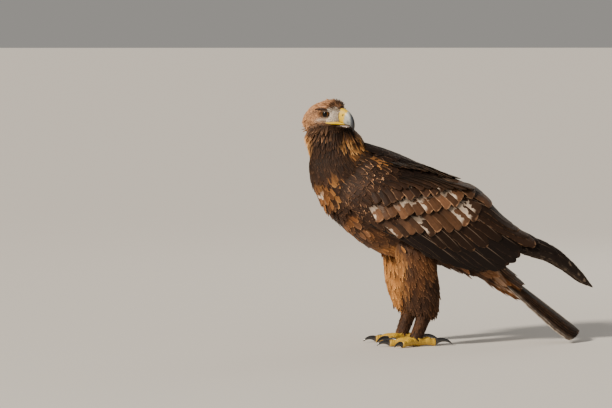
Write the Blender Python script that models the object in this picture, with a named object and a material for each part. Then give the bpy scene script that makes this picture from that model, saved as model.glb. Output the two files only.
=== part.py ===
"""A golden eagle at life size, standing with its wings folded and its head turned over its left side.

Metres, +Z up. The bird faces -X, so its left side faces -Y. The floor is z = 0.
Soft forms are lofts through a few measured sections. Flight feathers are closed vanes set in tiers
on the outline of the folded wings, each tier fused into the node that it grows from.
"""

import math

import bmesh
import bpy
import numpy as np
from mathutils import Matrix, Vector

GAP = 0.0003
VANE_THICKNESS = 0.0006
LEFT, RIGHT = -1, 1

# Spine sections: x, z, half height across the spine, half width.
SPINE = [
    (-0.187, 0.500, 0.047, 0.042),
    (-0.181, 0.472, 0.057, 0.046),
    (-0.1685, 0.441, 0.0655, 0.053),
    (-0.1495, 0.396, 0.085, 0.066),
    (-0.100, 0.346, 0.097, 0.078),
    (-0.031, 0.299, 0.101, 0.083),
    (0.047, 0.273, 0.088, 0.076),
    (0.116, 0.233, 0.065, 0.056),
    (0.170, 0.187, 0.042, 0.039),
]
NECK_PLACES = np.linspace(0.0, 2.443, 7)
TORSO_PLACES = np.linspace(2.45, 7.995, 15)
TAIL_STARTS_AT = 8.0
HEAD_SIDEWAYS = -0.008

# The outline that both folded wings make with the back: x, top, bottom, half width.
FOLDED_WINGS = [
    (-0.180, 0.382, 0.275, 0.045),
    (-0.168, 0.407, 0.255, 0.060),
    (-0.136, 0.441, 0.215, 0.082),
    (-0.086, 0.450, 0.160, 0.100),
    (-0.023, 0.423, 0.125, 0.108),
    (0.045, 0.391, 0.110, 0.106),
    (0.102, 0.367, 0.110, 0.094),
    (0.168, 0.328, 0.110, 0.077),
    (0.232, 0.270, 0.110, 0.062),
    (0.284, 0.236, 0.110, 0.052),
    (0.341, 0.203, 0.100, 0.044),
    (0.414, 0.154, 0.080, 0.036),
]
# How the folded wings are raised to the back's line: x, two heights, and the rise at each of them.
WING_RISE = [
    (-0.130, 0.330, 0.450, 0.0000, 0.0000),
    (-0.086, 0.310, 0.447, 0.0000, 0.0090),
    (-0.023, 0.280, 0.420, 0.0000, 0.0125),
    (0.030, 0.260, 0.397, 0.0000, 0.0150),
    (0.068, 0.250, 0.380, 0.0000, 0.0125),
    (0.114, 0.240, 0.357, 0.0000, 0.0160),
    (0.168, 0.220, 0.325, 0.0000, 0.0175),
    (0.205, 0.200, 0.293, 0.0000, 0.0040),
    (0.232, 0.185, 0.270, 0.0000, 0.0055),
    (0.284, 0.185, 0.229, 0.0000, 0.0165),
    (0.320, 0.172, 0.205, 0.0080, 0.0235),
    (0.350, 0.158, 0.184, 0.0095, 0.0240),
    (0.386, 0.139, 0.155, 0.0045, 0.0170),
    (0.440, 0.110, 0.126, 0.0020, 0.0150),
]
# The arm of the wing under its feathers: x, upper edge, lower edge, how far it stands out, thickness.
WING_ARM = [
    (-0.172, 0.356, 0.334, -0.0030, 0.008),
    (-0.160, 0.374, 0.322, 0.0000, 0.012),
    (-0.136, 0.400, 0.306, 0.0015, 0.015),
    (-0.114, 0.417, 0.290, 0.0020, 0.016),
    (-0.086, 0.430, 0.275, 0.0020, 0.016),
    (-0.055, 0.429, 0.264, 0.0015, 0.015),
    (-0.023, 0.420, 0.254, 0.0000, 0.013),
    (0.020, 0.400, 0.246, -0.0010, 0.012),
    (0.062, 0.382, 0.240, -0.0020, 0.010),
    (0.104, 0.360, 0.240, -0.0030, 0.006),
]
ARM_SIDE_POINTS = 6

# Wing tiers. Roots and tips run along bent lines of three points in side view (x, z), from the lowest
# feather to the highest. The sink is how deep a root lies under the wing's outline, and the lift how
# high the rest lies, counted up by the step for each next feather. A tier without a step is shingled:
# each feather tilts, so that its upper edge passes under the next one.
FLIGHT_SHAPE = dict(shape=((0.0, 0.6), (0.35, 1.0), (0.76, 0.98), (0.93, 0.68), (1.0, 0.18)), across=2)
COVERT_SHAPE = dict(shape=((0.0, 0.6), (0.35, 1.0), (0.86, 0.94), (1.0, 0.34)), across=1)
WING_TIERS = {
    "primary": dict(
        FLIGHT_SHAPE, count=6, roots=((0.055, 0.248), (0.055, 0.262), (0.055, 0.274)),
        tips=((0.371, 0.153), (0.484, 0.080), (0.295, 0.216)),
        half_width=(0.0150, 0.0155), sink=-0.0135, lift=-0.0135, step=0.0017, bow=(0.037, 0.028),
    ),
    "secondary": dict(
        FLIGHT_SHAPE, count=8, roots=((-0.085, 0.290), (-0.015, 0.300), (0.058, 0.324)),
        tips=((0.052, 0.204), (0.234, 0.126), (0.256, 0.231)),
        half_width=(0.0170, 0.0205), sink=-0.0050, lift=-0.0010, step=0.0, bow=(0.004, 0.010),
    ),
    "tertial": dict(
        FLIGHT_SHAPE, count=3, roots=((0.062, 0.336), (0.066, 0.347), (0.070, 0.358)),
        tips=((0.246, 0.254), (0.224, 0.278), (0.192, 0.302)),
        half_width=(0.0170, 0.0170), sink=-0.0050, lift=-0.0002, step=0.0, bow=(0.012, 0.010),
    ),
    "greater_covert": dict(
        COVERT_SHAPE, count=7, roots=((-0.116, 0.297), (-0.044, 0.304), (0.028, 0.330)),
        tips=((-0.030, 0.244), (0.080, 0.238), (0.177, 0.302)),
        half_width=(0.0140, 0.0165), sink=-0.0040, lift=0.0052, step=0.0, bow=(0.004, 0.004),
    ),
    "median_covert": dict(
        COVERT_SHAPE, count=6, roots=((-0.132, 0.322), (-0.074, 0.326), (0.012, 0.350)),
        tips=((-0.075, 0.281), (0.030, 0.282), (0.128, 0.326)),
        half_width=(0.0150, 0.0170), sink=-0.0040, lift=0.0088, step=0.0, bow=(0.003, 0.003),
    ),
    "scapular": dict(
        COVERT_SHAPE, count=5, roots=((-0.098, 0.392), (-0.040, 0.396), (0.012, 0.384)),
        tips=((-0.020, 0.356), (0.060, 0.354), (0.132, 0.334)),
        half_width=(0.0190, 0.0190), sink=-0.0040, lift=0.0122, step=0.0, bow=(0.004, 0.004),
    ),
}
SHINGLE_STEP = 0.0018
ROW_SPACING = 0.060

TAIL_ROOT = (0.1690, 0.0, 0.1970)
TAIL_DROP = math.radians(37.5)
TAIL_ROLL = math.radians(18.0)
TAIL_LENGTH = 0.284
TAIL_FEATHERS = 10
TAIL_ROOT_HALF, TAIL_TIP_HALF = 0.017, 0.040
TAIL_ARCH, TAIL_ARCH_HALF = 0.013, 0.055
TAIL_VANE_HALF = 0.0225
TAIL_LAYER = 0.00115
TAIL_COVERTS = 3
TAIL_SPLAY_DROP = 0.010
# The fleshy root of the tail with its fluff: distance, half height, half width, how low.
TAIL_STUMP = (
    (0.030, 0.031, 0.036, 0.009),
    (0.065, 0.025, 0.033, 0.013),
    (0.100, 0.018, 0.027, 0.014),
    (0.135, 0.009, 0.018, 0.012),
)
# The coverts over and under the tail: how far they reach, height at the root, height at the tip.
TAIL_COVERT_ROWS = ((0.120, 0.0075, 0.0075), (0.170, -0.0340, -0.0190))

HEAD_CENTRE = (-0.1960, HEAD_SIDEWAYS, 0.5180)
HEAD_YAW = math.radians(-46.0)
HEAD_PITCH = math.radians(-1.0)
# Head sections from the back to the bill: forward, centre height, half height, half width.
HEAD = [
    (-0.0470, -0.0130, 0.0055, 0.0060),
    (-0.0440, -0.0120, 0.0150, 0.0180),
    (-0.0365, -0.0095, 0.0225, 0.0275),
    (-0.0235, -0.0052, 0.0297, 0.0345),
    (-0.0080, -0.0020, 0.0338, 0.0372),
    (0.0080, -0.0002, 0.0353, 0.0350),
    (0.0220, 0.0012, 0.0347, 0.0305),
    (0.0340, 0.0028, 0.0318, 0.0245),
    (0.0430, 0.0023, 0.0268, 0.0185),
    (0.0505, 0.0022, 0.0197, 0.0130),
]
BROW_HEIGHT, BROW_ANGLE = 0.0046, math.radians(60)
EYE_RADIUS = 0.0105
EYE = (0.0215, 0.0225, 0.0050)
LID_RADIUS, LID_THICKNESS = 0.0094, 0.0013
# The lips at the corners of the mouth: how far down, radius.
LIPS = ((0.0, 0.0017), (0.0038, 0.0013))

# The upper bill: ridge (forward, up), cutting edge (forward, up), half width, in millimetres.
UPPER_BILL_MM = [
    (40.0, 19.0, 40.0, -13.5, 10.8),
    (48.0, 19.0, 47.0, -15.0, 10.4),
    (56.0, 17.5, 55.0, -16.4, 9.6),
    (63.5, 14.6, 61.5, -17.5, 8.6),
    (71.5, 9.3, 67.5, -18.2, 7.3),
    (78.5, 1.8, 72.5, -18.6, 5.9),
    (83.3, -7.5, 76.0, -20.0, 4.5),
    (85.5, -17.0, 78.8, -23.4, 3.1),
    (85.2, -25.5, 80.6, -28.0, 1.8),
    (83.2, -32.6, 82.2, -33.4, 0.5),
]
CERE_ENDS_AT = 3.0
# The lower bill: top (forward, up), underside (forward, up), half width, in millimetres.
LOWER_BILL_MM = [
    (36.0, -15.0, 38.0, -25.0, 9.6),
    (47.0, -16.2, 48.0, -25.6, 9.2),
    (58.0, -18.0, 58.0, -25.6, 7.8),
    (67.0, -19.2, 66.5, -25.0, 6.0),
    (73.0, -20.2, 72.5, -23.6, 3.6),
    (75.6, -21.2, 75.4, -22.2, 1.4),
]

LEG_SIDEWAYS = 0.054
FAR_LEG_FORWARD = 0.014
# Thigh sections going down: z, x, distance from the middle, half length, half width.
THIGH = [
    (0.262, -0.002, 0.048, 0.034, 0.026),
    (0.226, 0.002, 0.052, 0.044, 0.032),
    (0.190, 0.007, 0.054, 0.048, 0.035),
    (0.152, 0.011, 0.055, 0.048, 0.035),
    (0.120, 0.016, 0.055, 0.0465, 0.032),
    (0.098, 0.021, 0.055, 0.041, 0.028),
    (0.082, 0.026, 0.055, 0.031, 0.023),
    (0.074, 0.029, 0.055, 0.021, 0.017),
]
HOCK, ANKLE = (0.036, 0.100), (0.010, 0.030)
SHANK_HALF = ((0.021, 0.019), (0.0195, 0.0175), (0.0175, 0.0165), (0.0165, 0.0160))
FOOT_SOLE_SINK = 0.0008
# Toes: turn from straight ahead towards the outside, length, base radius, end radius, claw length.
TOES = {
    "middle": (0.0, 0.064, 0.0095, 0.0070, 0.034),
    "inner": (-33.0, 0.047, 0.0098, 0.0075, 0.042),
    "outer": (37.0, 0.052, 0.0090, 0.0066, 0.029),
    "hind": (186.0, 0.040, 0.0100, 0.0078, 0.047),
}
CLAW_SWEEP = math.radians(84)
CLAW_TIP_HEIGHT = 0.0015

FINISHES = {
    "body_brown": ((0.062, 0.032, 0.018), 0.75),
    "nape_gold": ((0.330, 0.150, 0.050), 0.70),
    "wing_brown": ((0.050, 0.028, 0.018), 0.65),
    "tail_dark": ((0.030, 0.020, 0.016), 0.60),
    "thigh_rufous": ((0.160, 0.070, 0.030), 0.80),
    "cere_yellow": ((0.750, 0.500, 0.030), 0.45),
    "horn": ((0.060, 0.070, 0.085), 0.30),
    "toe_yellow": ((0.700, 0.430, 0.040), 0.55),
    "claw_black": ((0.015, 0.014, 0.014), 0.25),
    "eye_amber": ((0.230, 0.090, 0.015), 0.08),
}


def clear_scene():
    """Removes whatever the file opened with."""
    for thing in list(bpy.data.objects):
        bpy.data.objects.remove(thing)


def finish_of(slot):
    """The named material, made once."""
    made = bpy.data.materials.get(slot)
    if made:
        return made
    colour, roughness = FINISHES[slot]
    made = bpy.data.materials.new(slot)
    made.use_nodes = True
    shader = made.node_tree.nodes["Principled BSDF"]
    shader.inputs["Base Color"].default_value = (*colour, 1.0)
    shader.inputs["Roughness"].default_value = roughness
    shader.inputs["Metallic"].default_value = 0.0
    return made


def mesh_object(name, points, faces, slot, group):
    """A closed mesh object with its faces pointing out."""
    mesh = bpy.data.meshes.new(name)
    mesh.from_pydata([tuple(p) for p in points], [], [tuple(f) for f in faces])
    shaped = bmesh.new()
    shaped.from_mesh(mesh)
    bmesh.ops.recalc_face_normals(shaped, faces=shaped.faces)
    if shaped.calc_volume(signed=True) < 0:
        bmesh.ops.reverse_faces(shaped, faces=shaped.faces)
    shaped.to_mesh(mesh)
    shaped.free()
    mesh.materials.append(finish_of(slot))
    made = bpy.data.objects.new(name, mesh)
    group.objects.link(made)
    return made


def smooth(rows, places):
    """Rows of (place, value, ...) read at any places, along a curve with no corners."""
    rows = np.asarray(rows, float)
    places = np.atleast_1d(np.asarray(places, float))
    at, values = rows[:, 0], rows[:, 1:]
    slopes = np.gradient(values, at, axis=0)
    i = np.clip(np.searchsorted(at, places) - 1, 0, len(at) - 2)
    span = (at[i + 1] - at[i])[:, None]
    t = np.clip((places - at[i]) / span[:, 0], 0.0, 1.0)[:, None]
    return (
        (2 * t**3 - 3 * t**2 + 1) * values[i]
        + (t**3 - 2 * t**2 + t) * span * slopes[i]
        + (3 * t**2 - 2 * t**3) * values[i + 1]
        + (t**3 - t**2) * span * slopes[i + 1]
    )


def bent_line(three, t):
    """A point on the quadratic curve that starts and ends at the outer two of three points."""
    a, b, c = (np.asarray(p, float) for p in three)
    return (1 - t) ** 2 * a + 2 * t * (1 - t) * b + t**2 * c


def loft(name, rings, slot, group):
    """A closed form through rings of equal count, capped flat at both ends."""
    count = len(rings[0])
    points = [p for ring in rings for p in ring]
    faces = []
    for r in range(len(rings) - 1):
        for k in range(count):
            here, there = r * count + k, r * count + (k + 1) % count
            faces += [(here, there, there + count), (here, there + count, here + count)]
    faces.append(tuple(range(count)))
    faces.append(tuple(range(len(points) - count, len(points))))
    return mesh_object(name, points, faces, slot, group)


def fused(name, pieces, slot, group):
    """Overlapping closed pieces joined into one closed body under a new name."""
    bag = bpy.data.collections.new(name + "_pieces")
    bpy.context.scene.collection.children.link(bag)
    base, others = pieces[0], pieces[1:]
    for piece in others:
        group.objects.unlink(piece)
        bag.objects.link(piece)
    join = base.modifiers.new("join", "BOOLEAN")
    join.operation = "UNION"
    join.operand_type = "COLLECTION"
    join.collection = bag
    join.solver = "EXACT"
    settle(base, name, slot)
    for piece in others:
        bpy.data.objects.remove(piece)
    bpy.data.collections.remove(bag)
    return base


def cut_away(body, cutters):
    """Takes each cutter out of a body, and removes the cutters."""
    for cutter in cutters:
        cut = body.modifiers.new("cut", "BOOLEAN")
        cut.operation = "DIFFERENCE"
        cut.object = cutter
        cut.solver = "EXACT"
        settle(body, body.name, body.data.materials[0].name)
        bpy.data.objects.remove(cutter)
    return body


def settle(body, name, slot):
    """Applies the modifiers, keeps the largest closed surface, and gives the body its name and finish."""
    bpy.context.view_layer.update()
    mesh = bpy.data.meshes.new_from_object(body.evaluated_get(bpy.context.evaluated_depsgraph_get()))
    body.modifiers.clear()
    shaped = bmesh.new()
    shaped.from_mesh(mesh)
    bmesh.ops.triangulate(shaped, faces=shaped.faces)
    left, largest, size = set(shaped.faces), [], 0.0
    while left:
        found, edge_of_search = {left.pop()}, []
        edge_of_search.extend(found)
        while edge_of_search:
            for edge in edge_of_search.pop().edges:
                for face in edge.link_faces:
                    if face in left:
                        left.remove(face)
                        found.add(face)
                        edge_of_search.append(face)
        corners = [[v.co for v in face.verts] for face in found]
        volume = abs(sum(a.dot(b.cross(c)) for a, b, c in corners)) / 6
        if volume > size:
            largest, size = found, volume
    scraps = [face for face in shaped.faces if face not in largest]
    bmesh.ops.delete(shaped, geom=scraps, context="FACES")
    shaped.to_mesh(mesh)
    shaped.free()
    mesh.materials.clear()
    mesh.materials.append(finish_of(slot))
    body.data = mesh
    body.name = name


def shade(body, angle=40.0):
    """Smooth shading with sharp edges kept."""
    body.data.shade_smooth()
    body.data.set_sharp_from_angle(angle=math.radians(angle))
    return body


def spine_rings(places, extra=0.0, sides=24):
    """Rings across the spine at places counted in sections, grown outwards by extra."""
    table = [(i, *row) for i, row in enumerate(SPINE)]
    rings = []
    for place in places:
        x, z, tall, wide = smooth(table, place)[0]
        ahead = smooth(table, min(place + 0.05, len(SPINE) - 1))[0][:2]
        behind = smooth(table, max(place - 0.05, 0))[0][:2]
        run = (ahead - behind) / np.linalg.norm(ahead - behind)
        back = np.array([run[1], -run[0]])
        if back[1] < 0 or (abs(back[1]) < 1e-6 and back[0] < 0):
            back = -back
        sideways = HEAD_SIDEWAYS * max(0.0, 1 - place / 2.0)
        angles = np.linspace(0, 2 * math.pi, sides, endpoint=False)
        up = (tall + extra) * np.cos(angles)
        out = (wide + extra) * np.sin(angles)
        rings.append(
            np.column_stack([x + back[0] * up, sideways + out, z + back[1] * up])
        )
    return rings


def body_cutter(group):
    """The neck and torso, larger all round by the gap that touching nodes keep."""
    places = np.concatenate([NECK_PLACES[3:], TORSO_PLACES])
    return loft("cutter", spine_rings(places, GAP), "body_brown", group)


def wing_outline(x):
    """Middle height, half height and half width of the folded wings at x."""
    top, bottom, half = smooth(FOLDED_WINGS, x).T
    return (top + bottom) / 2, (top - bottom) / 2, half


def on_wing(side, x, z, up, lift):
    """Points on the folded wing: at x and z in side view, then up round the body, then lifted off it."""
    x, z, up, lift = np.broadcast_arrays(*(np.asarray(v, float) for v in (x, z, up, lift)))
    middle, tall, half = wing_outline(x)
    angle = np.arccos(np.clip((z - middle) / tall, -1.0, 1.0))
    reach = np.hypot(tall * np.sin(angle), half * np.cos(angle))
    angle = np.maximum(angle - up / reach, 0.01)
    out = np.column_stack([np.sin(angle) / half, np.cos(angle) / tall])
    out /= np.linalg.norm(out, axis=1, keepdims=True)
    y = np.maximum(half * np.sin(angle) + lift * out[:, 0], 1.5 * GAP)
    z = middle + tall * np.cos(angle) + lift * out[:, 1]
    low, high, rise_low, rise_high = smooth(WING_RISE, x).T
    z = z + rise_low + (rise_high - rise_low) * np.clip((z - low) / (high - low), 0.0, 1.2) ** 1.6
    return np.column_stack([x, side * y, z])


def plate(upper, lower, rows, columns):
    """Faces of a thin plate from two grids of rows x columns, split alike on both."""
    size = rows * columns
    faces = []
    for r in range(rows - 1):
        for c in range(columns - 1):
            a, b = r * columns + c, r * columns + c + 1
            d, e = a + columns, b + columns
            faces += [(a, b, e), (a, e, d), (size + a, size + e, size + b), (size + a, size + d, size + e)]
    rim = [r * columns for r in range(rows)]
    rim += [(rows - 1) * columns + c for c in range(1, columns)]
    rim += [r * columns + columns - 1 for r in range(rows - 2, -1, -1)]
    rim += [c for c in range(columns - 2, 0, -1)]
    for here, there in zip(rim, rim[1:] + rim[:1]):
        faces += [(here, there, size + there), (here, size + there, size + here)]
    return np.vstack([upper, lower]), faces


def feather_line(tier, place, t):
    """The middle line of one feather of a wing tier in side view, and the direction across it."""
    root, tip = (bent_line(tier[key], place) for key in ("roots", "tips"))
    along = (tip - root) / np.linalg.norm(tip - root)
    upward = np.array([-along[1], along[0]])
    bow = tier["bow"][0] + (tier["bow"][1] - tier["bow"][0]) * place
    return root + np.outer(t, tip - root) + np.outer(4 * bow * t * (1 - t), upward), upward


def wing_vane(side, tier, index, group):
    """One closed feather of a wing tier, from its root inside the arm to its rounded tip."""
    place, pace = index / (tier["count"] - 1), 1 / (tier["count"] - 1)
    first, last = np.asarray(tier["roots"][0], float), np.asarray(tier["roots"][2], float)
    run = (last - first) / np.linalg.norm(last - first)
    off_roots = np.array([run[1], -run[0]])
    root, tip = (bent_line(tier[key], place) for key in ("roots", "tips"))
    start, stop = (root - first) @ off_roots, (tip - first) @ off_roots
    rows = (np.sign(stop) * ROW_SPACING * np.arange(1, 9) - start) / (stop - start)
    rounding = [at for at, _ in tier["shape"][-2:]]
    t = np.array([0.0, *(at for at in rows if 0.08 < at < rounding[0] - 0.08), *rounding])
    wide = np.interp(t, *zip(*tier["shape"]))
    line, upward = feather_line(tier, place, t)
    ahead, behind = (feather_line(tier, place + way * pace, t)[0] for way in (0.5, -0.5))
    pitch = np.maximum(np.abs((ahead - behind) @ upward), 0.004)
    tilt = 0.010 if tier["step"] else SHINGLE_STEP / pitch
    columns = tier["across"] + 1
    half_width = tier["half_width"][0] + (tier["half_width"][1] - tier["half_width"][0]) * place
    reach = np.outer(half_width * wide, np.linspace(-1.0, 1.0, columns))
    x, z = (line[:, k, None] + upward[k] * reach for k in (0, 1))
    below = (x - first[0]) * off_roots[0] + (z - first[1]) * off_roots[1]
    rise = np.clip(np.abs(below) / ROW_SPACING, 0.0, 1.0)
    height = tier["sink"] + (tier["lift"] - tier["sink"]) * rise + tier["step"] * index
    height = height - (np.reshape(tilt, (-1, 1)) * reach)
    half = VANE_THICKNESS / 2
    start_z = np.repeat(line[:, 1], columns)
    up = (upward[1] * reach).ravel()
    upper = on_wing(side, x.ravel(), start_z, up, height.ravel() + half)
    lower = on_wing(side, x.ravel(), start_z, up, height.ravel() - half)
    points, faces = plate(upper, lower, len(t), columns)
    return mesh_object("vane", points, faces, "wing_brown", group)


def wing_shell(side, table, steps, group):
    """A closed shell round the flank, from a table of wing sections."""
    rings = []
    stations = np.linspace(table[0][0], table[-1][0], steps)
    for x, (top, low, stand, thick) in zip(stations, smooth(table, stations)):
        middle, tall, _ = (float(v[0]) for v in wing_outline(x))
        first, last = (math.acos(np.clip((z - middle) / tall, -1, 1)) for z in (top, low))
        heights = middle + tall * np.cos(np.linspace(first, last, ARM_SIDE_POINTS))
        swell = np.sin(np.linspace(0.15, math.pi - 0.15, ARM_SIDE_POINTS)) ** 0.5
        outer = on_wing(side, x, heights, 0.0, stand - thick / 2 * (1 - swell))
        inner = on_wing(side, x, heights[::-1], 0.0, stand - thick + thick / 2 * (1 - swell))
        rings.append(np.vstack([outer, inner]))
    return loft("shell", rings, "wing_brown", group)


def folded_wing(name, side, group):
    """A whole folded wing: the arm with its tiers of feathers, cut clear of the body."""
    pieces = [wing_shell(side, WING_ARM, 10, group)]
    for tier in WING_TIERS.values():
        pieces += [wing_vane(side, tier, index, group) for index in range(tier["count"])]
    wing = fused(name, pieces, "wing_brown", group)
    return cut_away(wing, [body_cutter(group)])


def tail_frame():
    """The tail's own axes at its root: along it, across it and up from it."""
    along = Vector((math.cos(TAIL_DROP), 0, -math.sin(TAIL_DROP)))
    roll = Matrix.Rotation(TAIL_ROLL, 3, along)
    return np.array(along), np.array(roll @ Vector((0, 1, 0))), np.array(
        roll @ Vector((math.sin(TAIL_DROP), 0, math.cos(TAIL_DROP)))
    )


def on_tail(distance, sideways, height):
    """Points on the arched fan of the tail."""
    along, across, up = tail_frame()
    distance, sideways, height = np.broadcast_arrays(
        *(np.asarray(v, float) for v in (distance, sideways, height))
    )
    arch = TAIL_ARCH * (sideways / TAIL_ARCH_HALF) ** 2
    rise = height - arch
    return (
        np.array(TAIL_ROOT) + np.outer(distance, along) + np.outer(sideways, across) + np.outer(rise, up)
    )


def tail_vane(start, end, root_side, tip_side, half_width, height, group):
    """One closed tail feather between two distances from the root."""
    t = np.array((0.0, 0.5, 0.92, 1.0))
    shape = np.array((0.62, 0.95, 0.86, 0.45))
    across = np.array((-1.0, 0.0, 1.0))
    distance = np.repeat(start + (end - start) * t, 3)
    middle = np.repeat(root_side + (tip_side - root_side) * t, 3)
    reach = np.outer(half_width * shape, across).ravel()
    height = np.repeat(height[0] + (height[1] - height[0]) * np.clip(t / 0.5, 0, 1), 3)
    half = VANE_THICKNESS / 2
    upper = on_tail(distance, middle + reach, height + half)
    lower = on_tail(distance, middle + reach, height - half)
    points, faces = plate(upper, lower, len(t), 3)
    return mesh_object("vane", points, faces, "tail_dark", group)


def tail(group):
    """The tail: its fleshy root, ten long feathers in layers, and the coverts over and under them."""
    along, across, up = tail_frame()
    angles = np.linspace(0, 2 * math.pi, 24, endpoint=False)
    rings = [spine_rings([TAIL_STARTS_AT], 0.0, 24)[0]]
    for distance, tall, wide, low in TAIL_STUMP:
        centre = np.array(TAIL_ROOT) + along * distance - up * low
        rings.append(
            centre + np.outer(tall * np.cos(angles), up) + np.outer(wide * np.sin(angles), across)
        )
    pieces = [loft("stump", rings, "tail_dark", group)]
    middle = (TAIL_FEATHERS - 1) / 2
    for i in range(TAIL_FEATHERS):
        place = (i - middle) / middle
        layer = 2 * abs(i - middle) - 1 + (i < middle)
        height = -0.0005 - TAIL_LAYER * layer
        end = TAIL_LENGTH - TAIL_SPLAY_DROP * place**2
        sides = (TAIL_ROOT_HALF * place, TAIL_TIP_HALF * place)
        pieces.append(tail_vane(0.055, end, *sides, TAIL_VANE_HALF, (height - 0.002, height), group))
    for reach, at_root, at_tip in TAIL_COVERT_ROWS:
        for i in range(TAIL_COVERTS):
            place = i - (TAIL_COVERTS - 1) / 2
            fall = 0.0012 * abs(2 * place - 0.5)
            sides = (0.014 * place, 0.019 * place)
            heights = (at_root - fall, at_tip - fall)
            pieces.append(tail_vane(0.045, reach - 0.012 * abs(place), *sides, 0.017, heights, group))
    return fused("tail", pieces, "tail_dark", group)


def head_matrix():
    """Turns head measures (forward, right side, up) into place."""
    turn = Matrix.Rotation(HEAD_YAW, 4, "Z") @ Matrix.Rotation(-HEAD_PITCH, 4, "Y")
    return np.array(Matrix.Translation(HEAD_CENTRE) @ turn)


def on_head(forward, side, up):
    """Points of the head's own frame in place. The side is positive to the bird's right."""
    forward, side, up = np.broadcast_arrays(*(np.asarray(v, float) for v in (forward, side, up)))
    own = np.column_stack([forward, -side, up, np.ones(forward.size)])
    return (own @ head_matrix().T)[:, :3]


def head_rings(extra=0.0, sides=22, steps=12):
    """Rings of the head with its brows drawn out and its eye hollows drawn in."""
    rings = []
    start, stop = HEAD[0][0], HEAD[-1][0]
    for share in np.linspace(0, 1, steps):
        forward = start + (stop - start) * (0.5 - 0.5 * math.cos(math.pi * (0.04 + 0.92 * share)))
        centre, tall, wide = smooth(HEAD, forward)[0]
        angle = np.linspace(0, 2 * math.pi, sides, endpoint=False)
        fold = np.abs((angle + math.pi) % (2 * math.pi) - math.pi)
        brow = np.exp(-(((fold - BROW_ANGLE) / 0.20) ** 2)) * math.exp(-(((forward - 0.021) / 0.017) ** 2))
        hollow = np.exp(-(((fold - 1.42) / 0.30) ** 2)) * math.exp(-(((forward - 0.023) / 0.012) ** 2))
        grown = extra + BROW_HEIGHT * brow - 0.0026 * hollow
        rings.append(
            on_head(forward, (wide + grown) * np.sin(angle), centre + (tall + grown) * np.cos(angle))
        )
    return rings


def ball(name, centre, radius, slot, group, segments=14, rows=8):
    """A round ball with its poles up and down."""
    shaped = bmesh.new()
    bmesh.ops.create_uvsphere(shaped, u_segments=segments, v_segments=rows, radius=radius)
    bmesh.ops.translate(shaped, verts=shaped.verts, vec=Vector(centre))
    mesh = bpy.data.meshes.new(name)
    shaped.to_mesh(mesh)
    shaped.free()
    mesh.materials.append(finish_of(slot))
    made = bpy.data.objects.new(name, mesh)
    group.objects.link(made)
    return made


def tube(name, line, radii, slot, group, sides=8, end_run=None):
    """A closed tube along a line of points, its last ring square to the end run where one is given."""
    line = np.asarray(line, float)
    rings = []
    for i, point in enumerate(line):
        run = line[min(i + 1, len(line) - 1)] - line[max(i - 1, 0)]
        if end_run is not None and i == len(line) - 1:
            run = end_run
        run = Vector(run).normalized()
        beside = run.orthogonal() if abs(run.z) > 0.9 else run.cross(Vector((0, 0, 1)))
        one = beside.normalized()
        two = run.cross(one)
        angles = np.linspace(0, 2 * math.pi, sides, endpoint=False)
        spokes = np.outer(np.cos(angles), np.array(one)) + np.outer(np.sin(angles), np.array(two))
        rings.append(point + radii[i] * spokes)
    return loft(name, rings, slot, group)


def lid(side, group):
    """The ring of skin round an eye, as a closed loop of small sections."""
    forward, out, up = EYE
    outward = Vector((0.36, side * 0.93, 0.02)).normalized()
    first = outward.cross(Vector((0, 0, 1))).normalized()
    second = outward.cross(first)
    centre = Vector((forward, side * out, up)) + outward * EYE_RADIUS * 0.42
    turns, sides = 12, 5
    points = []
    for i in range(turns):
        a = 2 * math.pi * i / turns
        spoke = first * math.cos(a) + second * math.sin(a)
        for k in range(sides):
            b = 2 * math.pi * k / sides
            reach = LID_RADIUS + LID_THICKNESS * 1.5 * math.cos(b)
            points.append(centre + spoke * reach + outward * LID_THICKNESS * math.sin(b))
    own = np.array(points)
    placed = on_head(own[:, 0], own[:, 1], own[:, 2])
    faces = []
    for i in range(turns):
        here, there = i * sides, (i + 1) % turns * sides
        for k in range(sides):
            after = (k + 1) % sides
            faces.append((here + k, here + after, there + after, there + k))
    return mesh_object("lid", placed, faces, "body_brown", group)


def lips(side, extra, group):
    """Both lips of the mouth's corner, which runs back under the eye on one side."""
    made = []
    for drop, radius in LIPS:
        own = on_head(
            np.array((0.020, 0.028, 0.036, 0.043)),
            side * np.array((0.0264, 0.0242, 0.0196, 0.0150)),
            np.array((-0.0150, -0.0152, -0.0148, -0.0146)) - drop,
        )
        radii = radius * np.array((0.5, 1.0, 1.0, 1.0)) + extra
        made.append(tube("lip", own, radii, "body_brown", group, 6))
    return made


def bill_rings(table, first, last, steps, extra=0.0, set_back=0.0, sides=14):
    """Rings of a bill half between two places, counted in rows of its table."""
    rows = [(i, *row) for i, row in enumerate(table)]
    rings = []
    for place in np.linspace(first, last, steps):
        ridge_f, ridge_u, edge_f, edge_u, wide = smooth(rows, place)[0] / 1000
        angle = np.linspace(0, 2 * math.pi, sides, endpoint=False)
        lengthwise = np.cos(angle)
        crosswise = np.sign(np.sin(angle)) * np.abs(np.sin(angle)) ** 0.85
        middle_f, middle_u = (ridge_f + edge_f) / 2 + set_back, (ridge_u + edge_u) / 2
        half_f, half_u = (ridge_f - edge_f) / 2, (ridge_u - edge_u) / 2
        stretch = 1 + extra / max(math.hypot(half_f, half_u), 1e-4)
        rings.append(
            on_head(
                middle_f + half_f * lengthwise * stretch,
                (wide + extra) * crosswise,
                middle_u + half_u * lengthwise * stretch,
            )
        )
    return rings


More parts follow.
